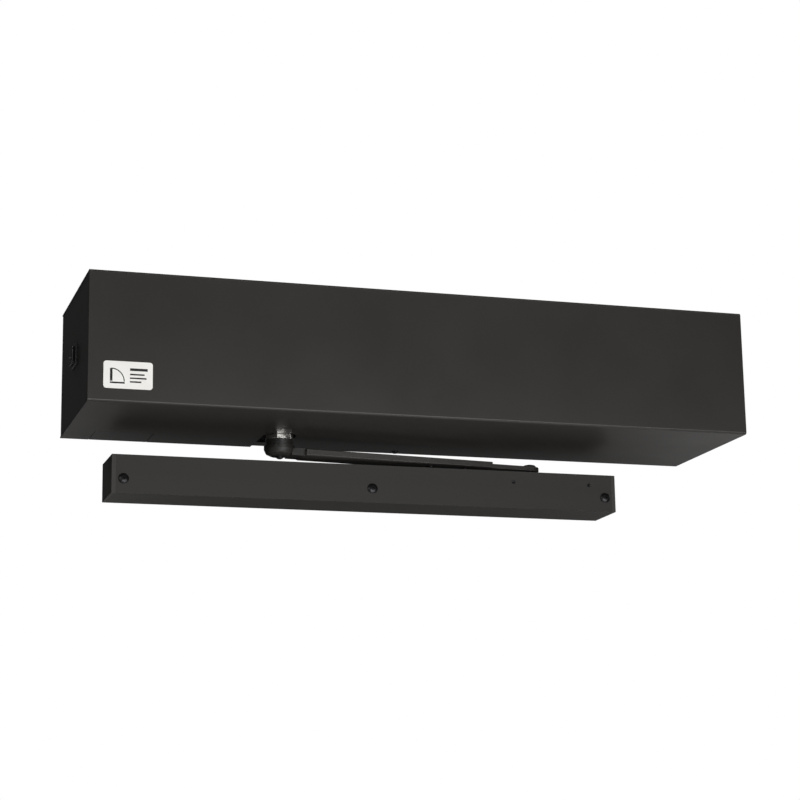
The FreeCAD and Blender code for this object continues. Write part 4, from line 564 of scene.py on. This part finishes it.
def screw_tree():
    """Cross-recessed pan-head screw with a rolled thread, set on points with a facing vector.

    Its shape is in shares of the head's radius and rise and the thread's radius and length.
    """
    crown_power, crown_fall = 2.6, 0.55
    wing_length, wing_width, wing_depth, wing_level = 1.04, 0.24, 1.5, 1.05
    wing_middle, wing_widening = 0.78, 0.34
    core_share, tip_share, tip_length, stem_length = 0.76, 0.25, 0.3, 0.7
    thread_pitch, thread_run, thread_foot = 0.75, 0.88, 0.1
    ridge_first, ridge_last, ridge_size = 0.62, 0.82, 0.18
    head_sides, shank_sides = 48, 24
    tree = bpy.data.node_groups.new("cross_recess_screw", "GeometryNodeTree")
    sockets = {"Places": tree_input(tree, "Places", "NodeSocketGeometry")}
    for name in (
        "Head Diameter", "Head Rise", "Neck Diameter", "Neck Length",
        "Thread Diameter", "Thread Length",
    ):
        sockets[name] = tree_input(tree, name, "NodeSocketFloat")
    sockets["Finish"] = tree_input(tree, "Finish", "NodeSocketMaterial")
    tree.interface.new_socket(name="Screws", in_out="OUTPUT", socket_type="NodeSocketGeometry")
    given = add(tree, "NodeGroupInput").outputs

    def math_of(operation, *terms):
        return add(tree, "ShaderNodeMath", dict(enumerate(terms)), operation=operation).outputs[0]

    def raised(geometry, height):
        offset = add(tree, "ShaderNodeCombineXYZ", {"Z": height}).outputs[0]
        return add(tree, "GeometryNodeTransform", {
            "Geometry": geometry, "Translation": offset,
        }).outputs[0]

    radius = math_of("DIVIDE", given["Head Diameter"], 2.0)
    rise = given["Head Rise"]
    # head: a disc of rings whose top is lifted into a crown
    disc = add(tree, "GeometryNodeMeshCylinder", {
        "Vertices": head_sides, "Side Segments": 3, "Fill Segments": 10,
        "Radius": radius, "Depth": rise,
    }).outputs["Mesh"]
    head = raised(disc, math_of("DIVIDE", rise, 2.0))
    where = add(tree, "GeometryNodeInputPosition").outputs[0]
    split = add(tree, "ShaderNodeSeparateXYZ", {"Vector": where}).outputs
    flat = add(tree, "ShaderNodeCombineXYZ", {"X": split["X"], "Y": split["Y"]}).outputs[0]
    out = add(tree, "ShaderNodeVectorMath", {0: flat}, operation="LENGTH").outputs["Value"]
    share = math_of("POWER", math_of("DIVIDE", out, radius), crown_power)
    crown = math_of("SUBTRACT", 1.0, math_of("MULTIPLY", share, crown_fall))
    lifted = add(tree, "ShaderNodeCombineXYZ", {
        "X": split["X"], "Y": split["Y"], "Z": math_of("MULTIPLY", split["Z"], crown),
    }).outputs[0]
    head = add(tree, "GeometryNodeSetPosition", {"Geometry": head, "Position": lifted}).outputs[0]
    # recess: two crossed wings that narrow towards their foot
    wings = []
    for turn in (0.0, math.pi / 2):
        size = add(tree, "ShaderNodeCombineXYZ", {
            "X": math_of("MULTIPLY", radius, wing_length),
            "Y": math_of("MULTIPLY", radius, wing_width),
            "Z": math_of("MULTIPLY", rise, wing_depth),
        }).outputs[0]
        wing = add(tree, "GeometryNodeMeshCube", {"Size": size}).outputs["Mesh"]
        place = add(tree, "GeometryNodeInputPosition").outputs[0]
        part = add(tree, "ShaderNodeSeparateXYZ", {"Vector": place}).outputs
        widened = math_of("DIVIDE", math_of("MULTIPLY", part["Z"], wing_widening), rise)
        narrow = math_of("ADD", wing_middle, widened)
        tapered = add(tree, "ShaderNodeVectorMath", {
            0: place, 3: narrow,
        }, operation="SCALE").outputs[0]
        edges = add(tree, "ShaderNodeSeparateXYZ", {"Vector": tapered}).outputs
        shaped = add(tree, "ShaderNodeCombineXYZ", {
            "X": edges["X"], "Y": edges["Y"], "Z": part["Z"],
        }).outputs[0]
        wing = add(tree, "GeometryNodeSetPosition", {
            "Geometry": wing, "Position": shaped,
        }).outputs[0]
        wing = add(tree, "GeometryNodeTransform", {
            "Geometry": wing, "Rotation": (0.0, 0.0, turn),
        }).outputs[0]
        wings.append(raised(wing, math_of("MULTIPLY", rise, wing_level)))
    for wing in wings:
        cut = add(tree, "GeometryNodeMeshBoolean", operation="DIFFERENCE", solver="EXACT")
        tree.links.new(head, cut.inputs[0])
        tree.links.new(wing, cut.inputs[1])
        head = cut.outputs["Mesh"]
    # neck, then a thread: a core with a ridge wound round it
    neck_radius = math_of("DIVIDE", given["Neck Diameter"], 2.0)
    neck = add(tree, "GeometryNodeMeshCylinder", {
        "Vertices": shank_sides, "Radius": neck_radius, "Depth": given["Neck Length"],
    }).outputs["Mesh"]
    neck = raised(neck, math_of("MULTIPLY", given["Neck Length"], -0.5))
    thread_radius = math_of("DIVIDE", given["Thread Diameter"], 2.0)
    core_radius = math_of("MULTIPLY", thread_radius, core_share)
    length = given["Thread Length"]
    core = add(tree, "GeometryNodeMeshCone", {
        "Vertices": shank_sides, "Radius Top": core_radius,
        "Radius Bottom": math_of("MULTIPLY", thread_radius, tip_share),
        "Depth": math_of("MULTIPLY", length, tip_length),
    }).outputs["Mesh"]
    neck_foot = math_of("MULTIPLY", given["Neck Length"], -1.0)
    tip_low = math_of("SUBTRACT", neck_foot, length)
    core = raised(core, tip_low)
    stem = add(tree, "GeometryNodeMeshCylinder", {
        "Vertices": shank_sides, "Radius": core_radius,
        "Depth": math_of("MULTIPLY", length, stem_length),
    }).outputs["Mesh"]
    half_stem = math_of("MULTIPLY", length, stem_length / 2)
    stem = raised(stem, math_of("SUBTRACT", neck_foot, half_stem))
    pitch = math_of("MULTIPLY", thread_radius, thread_pitch)
    run = math_of("MULTIPLY", length, thread_run)
    helix = add(tree, "GeometryNodeCurveSpiral", {
        "Resolution": 20, "Rotations": math_of("DIVIDE", run, pitch), "Height": run,
        "Start Radius": math_of("MULTIPLY", thread_radius, ridge_first),
        "End Radius": math_of("MULTIPLY", thread_radius, ridge_last),
    }).outputs[0]
    ridge = add(tree, "GeometryNodeCurvePrimitiveCircle", {
        "Resolution": 4, "Radius": math_of("MULTIPLY", thread_radius, ridge_size),
    }).outputs["Curve"]
    wound = add(tree, "GeometryNodeCurveToMesh", {
        "Curve": helix, "Profile Curve": ridge, "Fill Caps": True,
    }).outputs[0]
    wound = raised(wound, math_of("ADD", tip_low, math_of("MULTIPLY", length, thread_foot)))
    screw = add(tree, "GeometryNodeJoinGeometry")
    for part in (wound, stem, core, neck, head):
        tree.links.new(part, screw.inputs[0])
    # one on each point, its head turned the way the point faces
    facing = add(tree, "GeometryNodeInputNamedAttribute", {
        "Name": "facing",
    }, data_type="FLOAT_VECTOR")
    spin = add(tree, "FunctionNodeRandomValue", {
        "Min": 0.0, "Max": math.pi, "Seed": 7,
    }, data_type="FLOAT")
    aimed = add(tree, "FunctionNodeAlignRotationToVector", {
        "Vector": facing.outputs["Attribute"],
    }, axis="Z")
    chance = next(output for output in spin.outputs if output.enabled)
    twist = add(tree, "FunctionNodeEulerToRotation", {
        0: add(tree, "ShaderNodeCombineXYZ", {"Z": chance}).outputs[0],
    })
    turned = add(tree, "FunctionNodeRotateRotation", {
        "Rotation": aimed.outputs[0], "Rotate By": twist.outputs[0],
    }, rotation_space="LOCAL")
    placed = add(tree, "GeometryNodeInstanceOnPoints", {
        "Points": given["Places"], "Instance": screw.outputs[0], "Rotation": turned.outputs[0],
    }).outputs[0]
    real = add(tree, "GeometryNodeRealizeInstances", {"Geometry": placed}).outputs[0]
    finished = add(tree, "GeometryNodeSetMaterial", {
        "Geometry": real, "Material": given["Finish"],
    }).outputs[0]
    add(tree, "NodeGroupOutput", {0: finished})
    return tree, sockets


SCREW_TREE, SCREW_SOCKETS = screw_tree()
# ways a screw's head can face
DOWN, FORWARD = (0, 0, -1), (0, -1, 0)


def screws(name, node, places, facing, **sizes_mm):
    """Screws at given points, all with the same sizes; they stand for one CAD node.

    When the screws face down, those above the object's middle face up instead.
    """
    same_point, sharp = 1e-6, math.radians(40)
    mesh = bpy.data.meshes.new(name)
    mesh.from_pydata([tuple(place) for place in places], [], [])
    attribute = mesh.attributes.new("facing", "FLOAT_VECTOR", "POINT")
    for index, place in enumerate(places):
        flipped = facing[2] and place[2] > 0
        attribute.data[index].vector = [-part if flipped else part for part in facing]
    piece = bpy.data.objects.new(name, mesh)
    bpy.context.scene.collection.objects.link(piece)
    modifier = piece.modifiers.new("screws", "NODES")
    modifier.node_group = SCREW_TREE
    for title, size in sizes_mm.items():
        modifier[SCREW_SOCKETS[title.replace("_", " ").title()]] = size * MM
    modifier[SCREW_SOCKETS["Finish"]] = MATERIALS["black_steel"]
    mesh = applied(piece)
    work = bmesh.new()
    work.from_mesh(mesh)
    bmesh.ops.remove_doubles(work, verts=work.verts, dist=same_point)
    work.to_mesh(mesh)
    work.free()
    for polygon in mesh.polygons:
        polygon.use_smooth = True
    mesh.set_sharp_from_angle(angle=sharp)
    take_place(piece, BODY_OF[node], SLOT_OF[node], node)


# ---------------------------------------------------------------- pieces
def dress_inside():
    """Gives every CAD node its slot's material; the nodes that show are replaced later."""
    for name, node in NODES.items():
        node.data.materials.clear()
        node.data.materials.append(MATERIALS[SLOT_OF[name]])


def build_header():
    """The painted casing, with a folded sheet's small edge radius, and its label."""
    paint = MATERIALS["bronze_paint"]
    soften("header_cover", ["cover"], 0.35, paint)
    soften("header_infill_plate", ["cover_infill"], 0.3, paint)
    soften("header_end_left", ["end_cap_left"], 0.5, paint)
    soften("header_end_right", ["end_cap_right"], 0.5, paint)
    soften("header_back_plate", ["back_plate"], 0.3, MATERIALS[SLOT_OF["back_plate"]])
    soften("header_label", ["maker_plate"], 0.18, MATERIALS["plate_white"])


def build_switch():
    """Rocker switch in the left end: a fixed frame and the paddle that tilts in it."""
    soften("switch_frame", ["switch_body"], 0.5, MATERIALS["switch_black"], segments=3)
    soften("switch_paddle", ["switch_rocker"], 0.4, rocker_nylon(), segments=3)


def thicken_neck(mesh):
    """Raises the top of the forged neck until it closes the gap between hub and sleeve."""
    axis = sum(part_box("hub_screw"), Vector()) / 2
    neck_height, rise, hub_inside, near = 5.4 * MM, 2.2 * MM, 10 * MM, 0.02 * MM
    neck_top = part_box("arm_hub")[0].z + neck_height
    for vertex in mesh.vertices:
        away = (vertex.co.xy - axis.xy).length
        if abs(vertex.co.z - neck_top) < near and away > hub_inside:
            vertex.co.z += rise


def build_arm():
    """Plated collar, forged hub, the two bars that slide in each other, and the end stud."""
    bar = painted_bar()
    soften("arm_collar", ["spindle_collar"], 0.5, nickel_plate(), segments=3)
    soften(
        "arm_forged_hub", ["arm_hub"], 0.8, painted_forging(), segments=3, reshape=thicken_neck,
    )
    soften("arm_outer_bar", ["arm_sleeve"], 0.35, bar)
    soften("arm_inner_bar", ["arm_rod"], 0.5, bar)
    soften("arm_pivot_stud", ["pivot_stud"], 0.4, MATERIALS["black_steel"], segments=3)


def build_track():
    """Extruded track with its end caps, and the shoe, stop and bumper inside it."""
    soften("track_extrusion", ["track_rail"], 0.6, painted_extrusion())
    for side in ("left", "right"):
        soften("track_end_" + side, ["track_cap_" + side], 0.9, MATERIALS["cap_plastic"])
    soften("track_set_screws", ["stop_screws"], 0.15, MATERIALS["black_steel"])
    soften("track_shoe", ["slide_shoe"], 0.5, MATERIALS["nylon_shoe"])
    soften("track_stop_block", ["track_stop"], 0.5, MATERIALS[SLOT_OF["track_stop"]])
    soften("track_bumper", ["stop_bumper"], 1.0, MATERIALS["seal_rubber"], segments=4)


def build_track_screws():
    """Three pan heads along the front of the track; each runs right through into the door."""
    neck, thread = 4.2, 4.8
    low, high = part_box("track_screws")
    rail_low, rail_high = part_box("track_rail")
    head = high.z - low.z
    level = (low.z + high.z) / 2
    first, last = low.x + head / 2, high.x - head / 2
    screws(
        "track_fixing_screws", "track_screws",
        [(x, rail_low.y, level) for x in (first, (first + last) / 2, last)], FORWARD,
        head_diameter=head / MM, head_rise=(rail_low.y - low.y) / MM,
        neck_diameter=neck, neck_length=(rail_high.y - rail_low.y) / MM,
        thread_diameter=thread, thread_length=(high.y - rail_high.y) / MM,
    )


def build_cover_screws():
    """One through the underside of the cover and one through its top."""
    shank, neck_length, thread_length = 3.8, 1.0, 0.4
    low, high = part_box("cover_screws")
    cover_low, cover_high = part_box("cover")
    middle = (low + high) / 2
    screws(
        "cover_fixing_screws", "cover_screws",
        [(middle.x, middle.y, cover_low.z), (middle.x, middle.y, cover_high.z)], DOWN,
        head_diameter=(high.x - low.x) / MM, head_rise=(cover_low.z - low.z) / MM,
        neck_diameter=shank, neck_length=neck_length,
        thread_diameter=shank, thread_length=thread_length,
    )


def build_arm_screws():
    """The screw up into the spindle, and the two that clamp the inner bar."""
    hub_shank, hub_neck = 6.0, 4.0
    clamp_head, clamp_shank, half_spacing = 8.6, 4.8, 20 * MM
    hub_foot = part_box("arm_hub")[0].z
    low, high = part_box("hub_screw")
    middle = (low + high) / 2
    screws(
        "arm_hub_screw", "hub_screw", [(middle.x, middle.y, hub_foot)], DOWN,
        head_diameter=(high.x - low.x) / MM, head_rise=(hub_foot - low.z) / MM,
        neck_diameter=hub_shank, neck_length=hub_neck,
        thread_diameter=hub_shank, thread_length=(high.z - hub_foot) / MM - hub_neck,
    )
    stud_low, stud_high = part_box("pivot_stud")
    along = (stud_low + stud_high) / 2 - middle
    along.z = 0
    along.normalize()
    low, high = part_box("clamp_screws")
    sleeve_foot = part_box("arm_sleeve")[0].z
    middle = (low + high) / 2
    half_shank = (high.z - sleeve_foot) / MM / 2
    screws(
        "arm_clamp_screws", "clamp_screws",
        [
            (middle.x + along.x * step, middle.y + along.y * step, sleeve_foot)
            for step in (-half_spacing, half_spacing)
        ],
        DOWN,
        head_diameter=clamp_head, head_rise=(sleeve_foot - low.z) / MM,
        neck_diameter=clamp_shank, neck_length=half_shank,
        thread_diameter=clamp_shank, thread_length=half_shank,
    )


dress_inside()
build_header()
build_switch()
build_arm()
build_track()
build_track_screws()
build_cover_screws()
build_arm_screws()


# ---------------------------------------------------------------- stage
# Soft rectangles: name, place, aim, width and height in metres, and power in watts.
LIGHTS = (
    ("low_key", (0.5, -3.1, -0.95), (0.0, -0.1, -0.05), (2.4, 1.0), 78),
    ("high_key", (0.9, -2.6, 2.4), (0, -0.1, 0), (2.4, 1.4), 30),
    ("left_fill", (-2.0, -2.6, 0.5), (0, -0.1, 0), (1.2, 1.2), 15),
    ("rear_card", (1.75, 1.6, -1.0), (0.25, -0.08, -0.06), (1.3, 0.8), 2.6),
    ("rear_card_left", (-0.45, 1.6, -0.85), (-0.3, -0.08, -0.06), (0.6, 0.6), 1.2),
    ("rear_key", (-0.6, 2.6, 2.6), (0, 0, 0), (2.0, 1.2), 32),
    ("right_fill", (2.8, 0.35, 1.3), (0, 0, 0), (1.2, 1.2), 14),
    ("low_strip", (0.57, -0.58, -1.8), (0.1, -0.15, -0.06), (1.7, 0.5), 7),
)

# Camera below and to the left of the header, looking slightly up along it.
CAMERA_PLACE = (-0.644850, -2.134873, -0.519122)
CAMERA_AZIMUTH, CAMERA_ELEVATION, CAMERA_ROLL = 17.3397, 12.9287, -0.9297
LENS_MM, SENSOR_MM = 95.750, 36.0


def area_light(name, place, aim, size, power):
    """Soft rectangular lamp that the camera does not see."""
    lamp = bpy.data.lights.new(name, "AREA")
    lamp.shape = "RECTANGLE"
    lamp.size, lamp.size_y = size
    lamp.energy = power
    holder = bpy.data.objects.new(name, lamp)
    holder.location = place
    holder.rotation_mode = "QUATERNION"
    holder.rotation_quaternion = (Vector(aim) - Vector(place)).to_track_quat("-Z", "Y")
    holder.visible_camera = False
    bpy.context.scene.collection.objects.link(holder)


def build_floor():
    """Pale matt floor, far enough down for the object to be seen from below."""
    reach, level = 12.0, -2.3
    corners = [(-reach, -reach), (reach, -reach), (reach, reach), (-reach, reach)]
    mesh = bpy.data.meshes.new("floor")
    mesh.from_pydata([(x, y, level) for x, y in corners], [], [(0, 1, 2, 3)])
    pale = surface(
        "matt_white_floor_paint", "f0efed", "ebeae8", patch_mm=400, grain_mm=3, depth_mm=0.05,
        rough=(0.75, 0.85),
    )
    new_piece("floor", mesh, pale)


def build_world():
    """White behind the object; a low even light on everything."""
    low_light = 0.05
    world = bpy.data.worlds.new("studio")
    bpy.context.scene.world = world
    world.use_nodes = True
    tree = world.node_tree
    tree.nodes.clear()
    seen = add(tree, "ShaderNodeBackground", {"Color": srgb("ffffff"), "Strength": 1.0})
    light = add(tree, "ShaderNodeBackground", {"Color": srgb("f4f6fa"), "Strength": low_light})
    ray = add(tree, "ShaderNodeLightPath")
    both = add(tree, "ShaderNodeMixShader", {
        0: ray.outputs["Is Camera Ray"], 1: light.outputs[0], 2: seen.outputs[0],
    })
    add(tree, "ShaderNodeOutputWorld", {"Surface": both.outputs[0]})


def build_camera():
    """Camera with a long lens, turned by its azimuth, elevation and roll in degrees."""
    azimuth = math.radians(CAMERA_AZIMUTH)
    elevation = math.radians(CAMERA_ELEVATION)
    roll = math.radians(CAMERA_ROLL)
    ahead = Vector((
        math.sin(azimuth) * math.cos(elevation),
        math.cos(azimuth) * math.cos(elevation),
        math.sin(elevation),
    ))
    level_right = Vector((math.cos(azimuth), -math.sin(azimuth), 0))
    level_up = level_right.cross(ahead)
    right = math.cos(roll) * level_right + math.sin(roll) * level_up
    up = math.cos(roll) * level_up - math.sin(roll) * level_right
    lens = bpy.data.cameras.new("camera")
    lens.lens, lens.sensor_width = LENS_MM, SENSOR_MM
    lens.clip_start, lens.clip_end = 0.05, 60
    camera = bpy.data.objects.new("camera", lens)
    turn = Matrix((right, up, -ahead)).transposed().to_4x4()
    camera.matrix_world = Matrix.Translation(CAMERA_PLACE) @ turn
    bpy.context.scene.collection.objects.link(camera)
    bpy.context.scene.camera = camera


for light in LIGHTS:
    area_light(*light)
build_floor()
build_world()
build_camera()
bpy.context.scene.view_settings.view_transform = "Standard"
